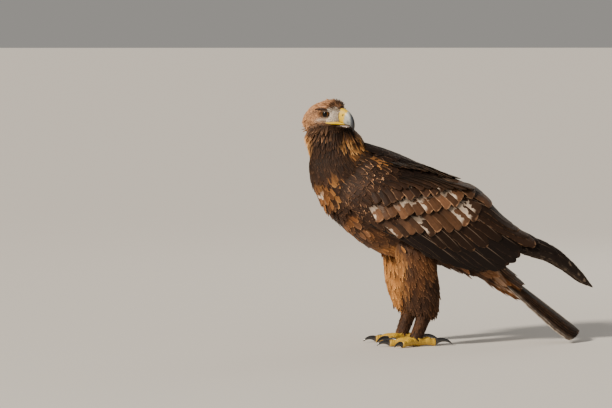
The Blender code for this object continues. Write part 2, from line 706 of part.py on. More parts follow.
def head(group):
    """The feathered head with brows, lids, lips, eyeballs in their sockets and the halves of the bill."""
    skull = loft("skull", head_rings(), "body_brown", group)
    extras = []
    for side in (LEFT, RIGHT):
        extras += [lid(side, group), *lips(side, 0.0, group)]
    skull = fused("head", [skull, *extras], "body_brown", group)
    for side, name in ((LEFT, "eye_left"), (RIGHT, "eye_right")):
        centre = on_head(EYE[0], side * EYE[1], EYE[2])[0]
        cut_away(skull, [ball("socket", centre, EYE_RADIUS + GAP, "body_brown", group)])
        shade(ball(name, centre, EYE_RADIUS, "eye_amber", group))

    cere = loft("cere", bill_rings(UPPER_BILL_MM, 0, CERE_ENDS_AT, 5), "cere_yellow", group)
    nostrils = []
    for side in (LEFT, RIGHT):
        slot = ball("nostril", (0, 0, 0), 1.0, "cere_yellow", group, 10, 8)
        slot.data.transform(Matrix.Diagonal((0.0026, 0.0022, 0.0014, 1.0)))
        slot.data.transform(Matrix.Rotation(math.radians(-58), 4, "Y"))
        slot.data.transform(Matrix.Translation((0.0585, -side * 0.0094, 0.0030)))
        slot.data.transform(Matrix(head_matrix()))
        nostrils.append(slot)
    cut_away(cere, nostrils)
    upper_rings = bill_rings(UPPER_BILL_MM, CERE_ENDS_AT, len(UPPER_BILL_MM) - 1, 13, 0.0, GAP)
    lower_rings = bill_rings(LOWER_BILL_MM, 0, len(LOWER_BILL_MM) - 1, 8, 0.0, 0.0, 12)
    upper = loft("beak_upper", upper_rings, "horn", group)
    lower = loft("beak_lower", lower_rings, "horn", group)
    for piece in (cere, lower):
        cutters = [lip for side in (LEFT, RIGHT) for lip in lips(side, GAP, group)]
        cut_away(piece, [loft("cutter", head_rings(GAP), "body_brown", group), *cutters])
    for piece in (skull, cere, upper, lower):
        shade(piece)
    return skull


def thigh_rings(side, extra=0.0, sides=16, steps=10):
    """Rings of a feathered thigh, from inside the belly down to the hem of its feathers."""
    shift = -FAR_LEG_FORWARD if side == RIGHT else 0.0
    table = [(-row[0], *row[1:]) for row in THIGH]
    rings = []
    for down in np.linspace(table[0][0], table[-1][0], steps):
        x, out, long, wide = smooth(table, down)[0]
        angle = np.linspace(0, 2 * math.pi, sides, endpoint=False)
        rings.append(
            np.column_stack(
                [
                    x + shift + (long + extra) * np.cos(angle),
                    side * (out + (wide + extra) * np.sin(angle)),
                    np.full(sides, -down),
                ]
            )
        )
    if extra:
        rings[-1][:, 2] -= extra
    return rings


def shank_rings(side, first, last, steps, sides=16):
    """Rings of the feathered shank between two shares of the way from hock to ankle."""
    shift = -FAR_LEG_FORWARD if side == RIGHT else 0.0
    hock = np.array([HOCK[0] + shift, side * LEG_SIDEWAYS, HOCK[1]])
    ankle = np.array([ANKLE[0] + shift, side * LEG_SIDEWAYS, ANKLE[1]])
    run = (ankle - hock) / np.linalg.norm(ankle - hock)
    front = np.array([run[2], 0.0, -run[0]])
    table = [(i / (len(SHANK_HALF) - 1), *row) for i, row in enumerate(SHANK_HALF)]
    angle = np.linspace(0, 2 * math.pi, sides, endpoint=False)
    rings = []
    for share in np.linspace(first, last, steps):
        long, wide = smooth(table, share)[0]
        centre = hock + (ankle - hock) * share
        lengthwise, sideways = long * np.cos(angle), wide * np.sin(angle)
        rings.append(centre + np.outer(lengthwise, front) + np.outer(sideways, (0.0, side, 0.0)))
    return rings


def toe_path(side, turn, length, base, end):
    """The middle line of a toe and its radii, with its knuckles raised a little."""
    shift = -FAR_LEG_FORWARD if side == RIGHT else 0.0
    angle = math.radians(turn)
    heading = np.array([-math.cos(angle), side * math.sin(angle), 0.0])
    t = np.linspace(0.0, 1.0, 6)
    knuckle = 0.0009 * np.abs(np.sin(t * math.pi * 2.5))
    radii = base + (end - base) * t + knuckle
    points = np.outer(t * length, heading) + (ANKLE[0] + shift, side * LEG_SIDEWAYS, 0.0)
    points[:, 2] = radii - FOOT_SOLE_SINK + 0.004 * np.sin(t * math.pi) * (1 - 0.4 * t)
    return points, radii, heading


def foot(name, side, group):
    """The toes of one foot, joined under the ankle, with flat soles, and a claw on each toe."""
    shank_end = shank_rings(side, 1.0, 1.0, 1)[0]
    run = shank_rings(side, 0.99, 0.99, 1)[0].mean(0) - shank_rings(side, 1.0, 1.0, 1)[0].mean(0)
    lower = shank_end - run / np.linalg.norm(run) * GAP
    middle = lower.mean(0)
    palm = [
        lower,
        middle + (lower - middle) * 1.02 + (0.001, 0, -0.007),
        middle + (lower - middle) * 0.80 + (0.001, 0, -0.0215),
    ]
    palm[-1][:, 2] = np.maximum(palm[-1][:, 2], 0.003)
    pieces = [loft("palm", palm, "toe_yellow", group)]
    for toe, (turn, length, base, end, claw_length) in TOES.items():
        points, radii, heading = toe_path(side, turn, length, base, end)
        pieces.append(tube("toe", points, radii, "toe_yellow", group, 8, heading))
        claw(f"claw_{name}_{toe}", points[-1], heading, claw_length, radii[-1], group)
    for piece in pieces:
        for vertex in piece.data.vertices:
            vertex.co.z = max(vertex.co.z, 0.0)
    return shade(fused(f"foot_{name}", pieces, "toe_yellow", group))


def claw(name, start, heading, length, toe_radius, group):
    """A hooked claw that leaves its toe a little upwards and comes down to the ground."""
    radius, steps, sides = length / CLAW_SWEEP, 6, 7
    fall = (CLAW_TIP_HEIGHT - start[2]) / (2 * radius * math.sin(CLAW_SWEEP / 2))
    angle = CLAW_SWEEP / 2 + math.asin(fall)
    point = np.asarray(start, float) + heading * GAP
    rings = []
    for i in range(steps + 1):
        t = i / steps
        slope = angle - CLAW_SWEEP * t
        run = heading * math.cos(slope) + np.array([0, 0, math.sin(slope)])
        above = np.array([0, 0, math.cos(slope)]) - heading * math.sin(slope)
        if i == 0:
            above, run = np.array([0.0, 0.0, 1.0]), heading
        thick = toe_radius * (0.80 * (1 - t) ** 0.75 + 0.05)
        beside = np.cross(above, run)
        a = np.linspace(0, 2 * math.pi, sides, endpoint=False)
        tall, wide = thick * np.cos(a), 0.78 * thick * np.sin(a)
        rings.append(point + np.outer(tall, above) + np.outer(wide, beside))
        bend = angle - CLAW_SWEEP * (t + 0.5 / steps)
        point = point + (heading * math.cos(bend) + np.array([0, 0, math.sin(bend)])) * length / steps
    return shade(loft(name, rings, "claw_black", group), 60)


def leg(name, side, group):
    """A feathered thigh and shank, each cut clear of what it grows from, and the foot."""
    thigh = loft(f"thigh_{name}", thigh_rings(side), "thigh_rufous", group)
    cut_away(thigh, [body_cutter(group)])
    shank = loft(f"shank_{name}", shank_rings(side, 0.0, 1.0, 6), "thigh_rufous", group)
    cut_away(shank, [loft("cutter", thigh_rings(side, GAP), "thigh_rufous", group)])
    for piece in (thigh, shank):
        shade(piece)
    foot(name, side, group)


def centre_on_floor(group):
    """Moves every node so that the middle of the whole bird's footprint is at x = y = 0."""
    corners = np.array([v.co for body in group.objects for v in body.data.vertices])
    low, high = corners.min(0), corners.max(0)
    shift = Matrix.Translation((-(low[0] + high[0]) / 2, -(low[1] + high[1]) / 2, -low[2]))
    for body in group.objects:
        body.data.transform(shift)


def main():
    clear_scene()
    group = bpy.data.collections.new("golden_eagle")
    bpy.context.scene.collection.children.link(group)

    shade(loft("torso", spine_rings(TORSO_PLACES), "body_brown", group))
    neck = loft("neck", spine_rings(NECK_PLACES), "nape_gold", group)
    above = (
        head_rings(GAP),
        bill_rings(UPPER_BILL_MM, 0, CERE_ENDS_AT, 5, GAP),
        bill_rings(LOWER_BILL_MM, 0, len(LOWER_BILL_MM) - 1, 8, GAP, 0.0, 12),
    )
    cut_away(neck, [loft("cutter", rings, "body_brown", group) for rings in above])
    cut_away(neck, [lip for side in (LEFT, RIGHT) for lip in lips(side, GAP, group)])
    shade(neck)
    head(group)
    for name, side in (("left", LEFT), ("right", RIGHT)):
        shade(folded_wing(f"wing_{name}", side, group), 25)
        leg(name, side, group)
    shade(tail(group), 25)
    centre_on_floor(group)


main()
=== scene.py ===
import math

import bmesh
import bpy
import numpy as np
from mathutils import Matrix, Vector
from mathutils.bvhtree import BVHTree


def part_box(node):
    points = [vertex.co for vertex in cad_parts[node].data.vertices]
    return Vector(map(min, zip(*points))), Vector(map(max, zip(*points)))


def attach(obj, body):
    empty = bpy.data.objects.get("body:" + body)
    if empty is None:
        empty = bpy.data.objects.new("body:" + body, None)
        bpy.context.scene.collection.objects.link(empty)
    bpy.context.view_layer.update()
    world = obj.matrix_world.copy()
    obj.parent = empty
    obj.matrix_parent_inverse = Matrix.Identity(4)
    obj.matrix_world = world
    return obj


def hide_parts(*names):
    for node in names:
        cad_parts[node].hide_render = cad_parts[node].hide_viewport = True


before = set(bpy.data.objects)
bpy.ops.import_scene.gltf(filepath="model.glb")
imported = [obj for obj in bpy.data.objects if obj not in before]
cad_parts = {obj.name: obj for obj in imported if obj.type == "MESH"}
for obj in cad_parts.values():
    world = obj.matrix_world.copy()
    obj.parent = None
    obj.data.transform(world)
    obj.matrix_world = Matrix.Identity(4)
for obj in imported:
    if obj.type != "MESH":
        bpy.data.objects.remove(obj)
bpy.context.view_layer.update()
leftSide, rightSide = -1, 1
wholeTurn = 2 * math.pi
downwards = np.array((0.0, 0.0, -1.0))


def smoothRows(rows, places):
    rows = np.asarray(rows, float)
    places = np.atleast_1d(np.asarray(places, float))
    at, values = rows[:, 0], rows[:, 1:]
    slopes = np.gradient(values, at, axis=0)
    i = np.clip(np.searchsorted(at, places) - 1, 0, len(at) - 2)
    span = (at[i + 1] - at[i])[:, None]
    t = np.clip((places - at[i]) / span[:, 0], 0.0, 1.0)[:, None]
    return (
        (2 * t**3 - 3 * t**2 + 1) * values[i]
        + (t**3 - 2 * t**2 + t) * span * slopes[i]
        + (3 * t**2 - 2 * t**3) * values[i + 1]
        + (t**3 - t**2) * span * slopes[i + 1]
    )


def bentLine(three, t):
    a, b, c = (np.asarray(p, float) for p in three)
    return (1 - t) ** 2 * a + 2 * t * (1 - t) * b + t**2 * c


def ease(low, high, value):  # 0 below low, 1 above high, smooth between
    t = np.clip((np.asarray(value, float) - low) / (high - low), 0.0, 1.0)
    return t * t * (3 - 2 * t)


def fade(low, high, value):
    return 1 - ease(low, high, value)


def unit(vectors):
    return vectors / np.maximum(np.linalg.norm(vectors, axis=-1, keepdims=True), 1e-9)


def spread(*values):  # numbers and arrays to flat arrays of one length
    return [v.ravel() for v in np.broadcast_arrays(*(np.asarray(v, float) for v in values))]


def turns(count):  # angles all round
    return np.linspace(0, wholeTurn, count, endpoint=False)


def folded(angle):  # the turn away from 0 on either side
    return np.abs((angle + math.pi) % wholeTurn - math.pi)


body = {
    "spine": [  # x, z, half height across the spine, half width
        (-0.187, 0.5, 0.047, 0.042),
        (-0.181, 0.472, 0.057, 0.046),
        (-0.1685, 0.441, 0.0655, 0.053),
        (-0.1495, 0.396, 0.085, 0.066),
        (-0.1, 0.346, 0.097, 0.078),
        (-0.031, 0.299, 0.101, 0.083),
        (0.047, 0.273, 0.088, 0.076),
        (0.116, 0.233, 0.065, 0.056),
        (0.17, 0.187, 0.042, 0.039),
    ],
    "headSideways": -0.008,
    "coatDepth": 0.0055,
}
spineTable = [(i, *row) for i, row in enumerate(body["spine"])]


def bodyPoint(u, phi, grow=0.0):  # phi 0 is the back, +90 degrees the bird's right
    u, phi, grow = spread(u, phi, grow)
    x, z, tall, wide = smoothRows(spineTable, u).T
    ahead = smoothRows(spineTable, np.minimum(u + 0.05, 8))[:, :2]
    behind = smoothRows(spineTable, np.maximum(u - 0.05, 0))[:, :2]
    run = unit(ahead - behind)
    back = np.column_stack([run[:, 1], -run[:, 0]])
    back *= np.where(back[:, 1:] < 0, -1.0, 1.0)
    up, out = (tall + grow) * np.cos(phi), (wide + grow) * np.sin(phi)
    sideways = body["headSideways"] * np.maximum(0.0, 1 - u / 2)
    return np.column_stack([x + back[:, 0] * up, sideways + out, z + back[:, 1] * up])


def bodyCoatAt(u, v):
    return bodyPoint(u, v, -body["coatDepth"])


def bodyInside(u):
    return bodyPoint(u, 0.0, -0.03)


head = {
    "centre": (-0.196, -0.008, 0.518),
    "yaw": math.radians(-46.0),
    "pitch": math.radians(-1.0),
    "sections": [  # forward, centre height, half height, half width
        (-0.047, -0.013, 0.0055, 0.006),
        (-0.044, -0.012, 0.015, 0.018),
        (-0.0365, -0.0095, 0.0225, 0.0275),
        (-0.0235, -0.0052, 0.0297, 0.0345),
        (-0.008, -0.002, 0.0338, 0.0372),
        (0.008, -0.0002, 0.0353, 0.035),
        (0.022, 0.0012, 0.0347, 0.0305),
        (0.034, 0.0028, 0.0318, 0.0245),
        (0.043, 0.0023, 0.0268, 0.0185),
        (0.0505, 0.0022, 0.0197, 0.013),
    ],
    "coatStart": 0.05,  # the coat's rows are counted back from here
    "browHeight": 0.005,
    "browAngle": math.radians(60),
    "coatDepth": 0.0026,
}
eye = {
    "place": (0.0215, 0.0225, 0.005),  # forward, sideways, up from the head's centre
    "radius": 0.0105,
    "axis": (0.36, 0.93, 0.02),  # the way that it looks
}
headTurn = Matrix.Rotation(head["yaw"], 4, "Z") @ Matrix.Rotation(-head["pitch"], 4, "Y")
headFrame = np.array(Matrix.Translation(head["centre"]) @ headTurn)


def onHead(forward, side, up):
    forward, side, up = spread(forward, side, up)
    own = np.column_stack([forward, -side, up, np.ones(forward.size)])
    return (own @ headFrame.T)[:, :3]


def eyeAxis(side):
    return unit(np.array(eye["axis"]) * (1, side, 1))


def headOwn(points):  # back to forward, side, up
    own = np.column_stack([points, np.ones(len(points))]) @ np.linalg.inv(headFrame).T
    return own[:, 0], -own[:, 1], own[:, 2]


def headPoint(forward, angle, grow=0.0):  # angle 0 is the crown
    forward, angle, grow = spread(forward, angle, grow)
    centre, tall, wide = smoothRows(head["sections"], forward).T
    fold = folded(angle)
    brow = np.exp(-(((fold - head["browAngle"]) / 0.2) ** 2)) * np.exp(-(((forward - 0.021) / 0.017) ** 2))
    hollow = np.exp(-(((fold - 1.42) / 0.3) ** 2)) * np.exp(-(((forward - 0.023) / 0.012) ** 2))
    grown = grow + head["browHeight"] * brow - 0.0026 * hollow
    return onHead(forward, (wide + grown) * np.sin(angle), centre + (tall + grown) * np.cos(angle))


def headCoatAt(u, v):  # the skin under the head's coat, u running back from the bill
    return headPoint(head["coatStart"] - u, v, -head["coatDepth"])


def headInside(u):
    return onHead(head["coatStart"] - u, 0.0, 0.0)


def offBill(points):  # false where feathers under the head would reach over the bill's root
    forward, _, up = headOwn(points)
    return (forward <= 0.03) | (up <= -0.027)


eyeBox = [np.array(corner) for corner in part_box("eye_right")]
eyeWanted = onHead(*eye["place"])[0]
toFrame = (eyeBox[0] + eyeBox[1]) / 2 - eyeWanted  # from the drawing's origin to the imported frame

leg = {
    "sideways": 0.054,
    "farForward": 0.014,
    "thigh": [  # minus the height, x, distance from the middle, half length, half width
        (-0.262, -0.002, 0.048, 0.034, 0.026),
        (-0.226, 0.002, 0.052, 0.044, 0.032),
        (-0.19, 0.007, 0.054, 0.048, 0.035),
        (-0.152, 0.011, 0.055, 0.048, 0.035),
        (-0.12, 0.016, 0.055, 0.0465, 0.032),
        (-0.098, 0.021, 0.055, 0.041, 0.028),
        (-0.082, 0.026, 0.055, 0.031, 0.023),
        (-0.074, 0.029, 0.055, 0.021, 0.017),
    ],
    "hock": (0.036, 0.1),
    "ankle": (0.01, 0.03),
    "shankHalf": ((0.021, 0.019), (0.0195, 0.0175), (0.0175, 0.0165), (0.0165, 0.016)),
    "coatDepth": 0.0065,
    "shankCoatDepth": 0.0035,
}


def legShift(side):
    return -leg["farForward"] if side == rightSide else 0.0


def thighPoint(side, drop, angle, grow=0.0):  # drop is minus the height, angle 0 the rear, 90 the outside
    drop, angle, grow = spread(drop, angle, grow)
    x, out, long, wide = smoothRows(leg["thigh"], drop).T
    return np.column_stack([x + legShift(side) + (long + grow) * np.cos(angle),
                            side * (out + (wide + grow) * np.sin(angle)), -drop])


def shankPoint(side, share, angle, grow=0.0):
    share, angle, grow = spread(share, angle, grow)
    hock, ankle = (np.array([leg[joint][0] + legShift(side), side * leg["sideways"], leg[joint][1]])
                   for joint in ("hock", "ankle"))
    run = unit(ankle - hock)
    front = np.array([run[2], 0.0, -run[0]])
    halves = [(i / 3, *row) for i, row in enumerate(leg["shankHalf"])]
    long, wide = smoothRows(halves, share).T
    return (
        hock
        + np.outer(share, ankle - hock)
        + np.outer((long + grow) * np.cos(angle), front)
        + np.outer((wide + grow) * np.sin(angle), (0.0, side, 0.0))
    )


wing = {
    "outline": [  # x, top, bottom, half width of both folded wings with the back
        (-0.18, 0.382, 0.275, 0.045),
        (-0.168, 0.407, 0.255, 0.06),
        (-0.136, 0.441, 0.215, 0.082),
        (-0.086, 0.45, 0.16, 0.1),
        (-0.023, 0.423, 0.125, 0.108),
        (0.045, 0.391, 0.11, 0.106),
        (0.102, 0.367, 0.11, 0.094),
        (0.168, 0.328, 0.11, 0.077),
        (0.232, 0.27, 0.11, 0.062),
        (0.284, 0.236, 0.11, 0.052),
        (0.341, 0.203, 0.1, 0.044),
        (0.414, 0.154, 0.08, 0.036),
    ],
    "arm": [  # x, upper edge, lower edge, how far it stands out, thickness
        (-0.172, 0.356, 0.334, -0.003, 0.008),
        (-0.16, 0.374, 0.322, 0.0, 0.012),
        (-0.136, 0.4, 0.306, 0.0015, 0.015),
        (-0.114, 0.417, 0.29, 0.002, 0.016),
        (-0.086, 0.43, 0.275, 0.002, 0.016),
        (-0.055, 0.429, 0.264, 0.0015, 0.015),
        (-0.023, 0.42, 0.254, 0.0, 0.013),
        (0.02, 0.4, 0.246, -0.001, 0.012),
        (0.062, 0.382, 0.24, -0.002, 0.01),
        (0.104, 0.36, 0.24, -0.003, 0.006),
    ],
    "rise": [  # x, two heights, and how far the feathers at each of them are raised
        (-0.13, 0.33, 0.45, 0.0, 0.0),
        (-0.086, 0.31, 0.447, 0.0, 0.009),
        (-0.023, 0.28, 0.42, 0.0, 0.0125),
        (0.03, 0.26, 0.397, 0.0, 0.015),
        (0.068, 0.25, 0.38, 0.0, 0.0125),
        (0.114, 0.24, 0.357, 0.0, 0.016),
        (0.168, 0.22, 0.325, 0.0, 0.0175),
        (0.205, 0.2, 0.293, 0.0, 0.004),
        (0.232, 0.185, 0.27, 0.0, 0.0055),
        (0.284, 0.185, 0.229, 0.0, 0.0165),
        (0.32, 0.172, 0.205, 0.008, 0.0235),
        (0.35, 0.158, 0.184, 0.0095, 0.024),
        (0.386, 0.139, 0.155, 0.0045, 0.017),
        (0.44, 0.11, 0.126, 0.002, 0.015),
    ],
}


def wingOutline(x):
    top, bottom, half = smoothRows(wing["outline"], x).T
    return (top + bottom) / 2, (top - bottom) / 2, half


def onWing(side, x, z, up, lift):  # side view x and z, then up round the body, then off it
    x, z, up, lift = spread(x, z, up, lift)
    middle, tall, half = wingOutline(x)
    angle = np.arccos(np.clip((z - middle) / tall, -1.0, 1.0))
    reach = np.hypot(tall * np.sin(angle), half * np.cos(angle))
    angle = np.maximum(angle - up / reach, 0.01)
    out = unit(np.column_stack([np.sin(angle) / half, np.cos(angle) / tall]))
    y = np.maximum(half * np.sin(angle) + lift * out[:, 0], 0.0006)
    z = middle + tall * np.cos(angle) + lift * out[:, 1]
    low, high, riseLow, riseHigh = smoothRows(wing["rise"], x).T
    z = z + riseLow + (riseHigh - riseLow) * np.clip((z - low) / (high - low), 0, 1.2) ** 1.6
    return np.column_stack([x, side * y, z])


tail = {
    "root": (0.169, 0.0, 0.197),
    "drop": math.radians(37.5),
    "roll": math.radians(18.0),
    "length": 0.284,
    "arch": 0.013,
    "archHalf": 0.055,
}
tailAlong = Vector((math.cos(tail["drop"]), 0, -math.sin(tail["drop"])))
tailRoll = Matrix.Rotation(tail["roll"], 3, tailAlong)
tailAcross = np.array(tailRoll @ Vector((0, 1, 0)))
tailUp = np.array(tailRoll @ Vector((math.sin(tail["drop"]), 0, math.cos(tail["drop"]))))
tailAlong = np.array(tailAlong)


def onTail(distance, sideways, height):
    distance, sideways, height = spread(distance, sideways, height)
    arch = tail["arch"] * (sideways / tail["archHalf"]) ** 2
    return (np.array(tail["root"]) + np.outer(distance, tailAlong) + np.outer(sideways, tailAcross)
            + np.outer(height - arch, tailUp))


def placed(name, data):
    made = bpy.data.objects.new(name, data)
    bpy.context.scene.collection.objects.link(made)
    return made


def newMesh(name, points, faces, material, colours=None, values=None, patches=None):
    mesh = bpy.data.meshes.new(name)
    mesh.from_pydata((np.asarray(points) + toFrame).tolist(), [], [tuple(f) for f in faces])
    for label, data in (colours or {}).items():
        layer = mesh.attributes.new(label, "FLOAT_COLOR", "POINT")
        layer.data.foreach_set("color", np.column_stack([data, np.ones(len(data))]).ravel())
    for label, data in (values or {}).items():
        layer = mesh.attributes.new(label, "FLOAT", "POINT")
        layer.data.foreach_set("value", np.asarray(data, float).ravel())
    if patches is not None:
        corner = np.empty(len(mesh.loops), int)
        mesh.loops.foreach_get("vertex_index", corner)
        layer = mesh.uv_layers.new(name="OFBake")
        layer.data.foreach_set("uv", np.asarray(patches)[corner].ravel())
    mesh.shade_smooth()
    mesh.materials.append(material)
    return placed(name, mesh)


def loftFaces(rings, count):
    starts = range(0, (rings - 1) * count, count)
    return [(r + k, r + (k + 1) % count, r + count + (k + 1) % count, r + count + k)
            for r in starts for k in range(count)]


def loft(rings):  # rings of equal count to points and faces, both ends capped
    count = len(rings[0])
    faces = loftFaces(len(rings), count)
    total = count * len(rings)
    return np.vstack(rings), [tuple(range(count))[::-1], *faces, tuple(range(total - count, total))]


def facingOut(made):
    shaped = bmesh.new()
    shaped.from_mesh(made.data)
    bmesh.ops.recalc_face_normals(shaped, faces=shaped.faces)
    shaped.to_mesh(made.data)
    shaped.free()
    return made


def joined(parts):  # several (points, faces) as one
    points, faces, start = [], [], 0
    for own, ownFaces in parts:
        points.append(np.asarray(own))
        faces += [tuple(i + start for i in face) for face in ownFaces]
        start += len(own)
    return np.vstack(points), faces


def asMesh(made):  # modifiers applied
    dependencies = bpy.context.evaluated_depsgraph_get()
    mesh = bpy.data.meshes.new_from_object(
        made.evaluated_get(dependencies), preserve_all_data_layers=True, depsgraph=dependencies
    )
    made.modifiers.clear()
    made.data = mesh
    return made


tones = {
    "umber": (0.048, 0.023, 0.013),
    "umberEdge": (0.135, 0.066, 0.034),
    "sable": (0.0085, 0.005, 0.004),
    "sableEdge": (0.026, 0.014, 0.009),
    "walnut": (0.092, 0.042, 0.02),
    "walnutEdge": (0.3, 0.16, 0.085),
    "gold": (0.43, 0.18, 0.05),
    "goldEdge": (0.72, 0.38, 0.13),
    "tawny": (0.3, 0.135, 0.06),
    "tawnyEdge": (0.58, 0.285, 0.13),
    "crown": (0.52, 0.24, 0.115),
    "crownEdge": (0.76, 0.41, 0.22),
    "rufous": (0.23, 0.085, 0.024),
    "rufousEdge": (0.48, 0.22, 0.075),
    "cream": (0.7, 0.56, 0.43),
    "throat": (0.014, 0.0075, 0.0055),
    "throatEdge": (0.055, 0.027, 0.015),
    "lore": (0.66, 0.55, 0.45),
    "loreEdge": (0.82, 0.72, 0.61),
}
tones = {name: np.array(tone) for name, tone in tones.items()}


def mixed(base, other, mask):
    mask = np.asarray(mask, float).reshape(-1, 1)
    return base * (1 - mask) + np.asarray(other) * mask


def patch(points, x, z, reachX, reachZ, soft=0.5):  # a soft round mark in side view
    away = np.hypot((points[:, 0] - x) / reachX, (points[:, 2] - z) / reachZ)
    return fade(1 - soft, 1 + soft, away)


def cloudy(points, scale):  # slow soft noise between 0 and 1
    x, y, z = (points * scale).T
    waves = (np.sin(1.9 * x + 1.3 * np.sin(1.1 * z + 2.0)) * np.sin(2.3 * z + 1.7 * np.sin(0.9 * y))
             + 0.6 * np.sin(3.7 * x - 2.9 * z + 1.1) * np.sin(2.9 * y + 1.9 * z)
             + 0.4 * np.sin(6.1 * z + 4.3 * x + 3.1 * y))
    return 0.5 + 0.28 * waves


def plumage(points):  # the coat's tone and edge tone at any points, in the drawing's measures
    x, y, z = points.T
    tone = np.tile(tones["umber"], (len(points), 1))
    edge = np.tile(tones["umberEdge"], (len(points), 1))

    def lay(name, mask):
        nonlocal tone, edge
        tone, edge = mixed(tone, tones[name], mask), mixed(edge, tones.get(name + "Edge", tones[name]), mask)

    def clouds(scale):
        return cloudy(points, scale)

    cloud = clouds(21.0)
    lay("sable", ease(0.36, 0.42, z) * ease(-0.12, -0.06, x) * 0.8)
    # the breast and belly, dark with rufous streaks low in front
    lay("throat", ease(0.24, 0.3, z) * fade(-0.08, -0.02, x) * 0.45)
    lay("rufous", ease(0.45, 0.8, cloud) * fade(-0.16, -0.06, x) * fade(0.31, 0.36, z) * 0.7)
    low = fade(-0.12, 0.0, x) * fade(0.28, 0.32, z)
    lay("tawny", ease(0.62, 0.8, clouds(47.0)) * low * 0.55)
    # the neck: near black round the throat's side, gold at the nape
    neckMask = ease(0.375, 0.425, z + 0.35 * (x + 0.13)) * fade(-0.07, -0.02, x)
    around = np.degrees(np.arctan2(y, x + 0.172))
    darkCentre = np.interp(z, [0.33, 0.4, 0.5], [-118, -104, -70])
    fromDark = np.abs((around - darkCentre + 180) % 360 - 180) + 16 * (cloud - 0.5)
    lay("throat", neckMask * fade(66, 92, fromDark))
    lay("gold", neckMask * ease(70, 98, fromDark) * 0.85)
    lay("gold", patch(points, -0.133, 0.46, 0.03, 0.03, 0.35) * ease(0.35, 0.55, clouds(60.0)) * 0.95)
    # painted sunlight: gold on the lit front edge of the lower neck
    lay("gold", patch(points, -0.195, 0.365, 0.026, 0.03, 0.5) * ease(0.45, 0.65, clouds(75.0)) * 0.7)
    # the sunlit edge of the breast
    lay("rufous", patch(points, -0.216, 0.335, 0.02, 0.036) * 0.9)
    lay("cream", patch(points, -0.216, 0.355, 0.007, 0.01) * (y < -0.004) * (y > -0.03) * 0.8)
    # legs and vent
    legMask = fade(0.215, 0.245, z) * fade(0.055, 0.085, x)
    lay("umber", legMask)
    lay("rufous", legMask * ease(0.5, 0.8, clouds(13.0)) * 0.32)
    # painted sunlight: the legs' fronts are lit rufous and gold, the far leg's the most
    lay("rufous", legMask * fade(-0.045, -0.018, x - 0.01 * np.sign(y) + 0.02 * (cloud - 0.5)) * 0.85)
    lay("gold", legMask * fade(-0.036, -0.01, x) * ease(0.0, 0.02, y) * 0.95)
    lay("gold", legMask * fade(-0.034, -0.02, x) * fade(-0.02, 0.0, y) * 0.6)
    lay("throat", legMask * fade(0.1, 0.15, z) * ease(-0.02, 0.02, x) * 0.5)
    vent = ease(0.03, 0.08, x) * fade(0.215, 0.25, z)
    lay("throat", vent * 0.75)
    lay("tawny", vent * ease(0.4, 0.65, clouds(30.0)) * fade(0.19, 0.215, z) * 0.5)
    underTail = ease(0.15, 0.185, x) * fade(0.19, 0.21, z)
    lay("rufous", underTail * 0.75)
    lay("cream", underTail * ease(0.55, 0.7, cloud) * 0.45)
    # the head
    forward, side, up = headOwn(points)
    away = np.sqrt((forward + 0.002) ** 2 + side**2 + up**2)
    onIt = fade(0.05, 0.06, away) * ease(-0.036, -0.026, up)
    onIt = np.maximum(onIt, ease(0.03, 0.036, forward) * fade(0.03, 0.036, np.abs(side))
                      * ease(-0.034, -0.03, up))
    lay("tawny", onIt * 0.95)
    lay("walnut", onIt * ease(0.4, 0.7, clouds(90.0)) * 0.35)
    lay("walnut", onIt * fade(-0.018, 0.002, up) * 0.75)
    lay("crown", onIt * ease(0.006, 0.018, up) * ease(0.25, 0.55, clouds(120.0)) * 0.8)
    darkLine = np.interp(forward, [-0.045, -0.022, -0.006, 0.018, 0.05],
                         [-0.044, -0.031, -0.018, -0.014, -0.013])
    ragged = 0.004 * (clouds(140.0) - 0.5)
    lay("throat", onIt * fade(-0.009, 0.003, up - darkLine + ragged) * 0.96)
    # painted shade: a dark band along the brow over the eye stands for the brow ridge's shadow
    browLine = 0.015 - 0.16 * np.maximum(0.018 - forward, 0)
    brow = np.exp(-(((up - browLine) / 0.0026) ** 2)) * ease(-0.03, 0.006, forward)
    lay("throat", onIt * brow * ease(0.01, 0.018, np.abs(side)) * fade(0.036, 0.042, forward) * 0.75)
    crownFront = ease(0.02, 0.034, forward) * ease(0.016, 0.022, up)
    lay("umber", onIt * crownFront * ease(0.35, 0.65, clouds(150.0)) * 0.75)
    lay("throat", onIt * ease(0.03, 0.04, forward) * ease(0.01, 0.016, up) * 0.65)
    lore = ease(0.026, 0.033, forward) * fade(0.013, 0.019, up) * ease(-0.017, -0.012, up)
    lay("lore", onIt * lore * 0.92)
    underEye = np.exp(-(((up + 0.0065) / 0.004) ** 2)) * ease(0.002, 0.016, forward)
    lay("lore", onIt * underEye * fade(0.03, 0.034, forward) * 0.5)
    return tone, edge


def lightChance(seed, strength, count):  # how light each feather is
    return np.exp(strength * np.random.default_rng(seed).standard_normal((count, 1)))


def newNodes(tree, kinds):  # {name: type} to nodes in a row
    made = {}
    for i, (name, kind) in enumerate(kinds.items()):
        node = tree.nodes.new(kind)
        node.name = node.label = name
        node.location = (i * 190, 0)
        made[name] = node
    return made


def newMaterial(name):
    material = bpy.data.materials.new(name)
    material.use_nodes = True
    return material, material.node_tree, material.node_tree.nodes["Principled BSDF"]


def setInputs(node, values):
    for label, value in values.items():
        node.inputs[label].default_value = value


def raiseBy(tree, shader, height, strength, distance):
    bump = tree.nodes.new("ShaderNodeBump")
    setInputs(bump, {"Strength": strength, "Distance": distance})
    tree.links.new(height, bump.inputs["Height"])
    tree.links.new(bump.outputs["Normal"], shader.inputs["Normal"])


def math2(tree, operation, a, b=None, c=None, clamp=False):
    node = tree.nodes.new("ShaderNodeMath")
    node.operation, node.use_clamp = operation, clamp
    for socket, value in zip(node.inputs, (a, b, c)):
        if value is None:
            continue
        if isinstance(value, (int, float)):
            socket.default_value = value
        else:
            tree.links.new(value, socket)
    return node.outputs[0]


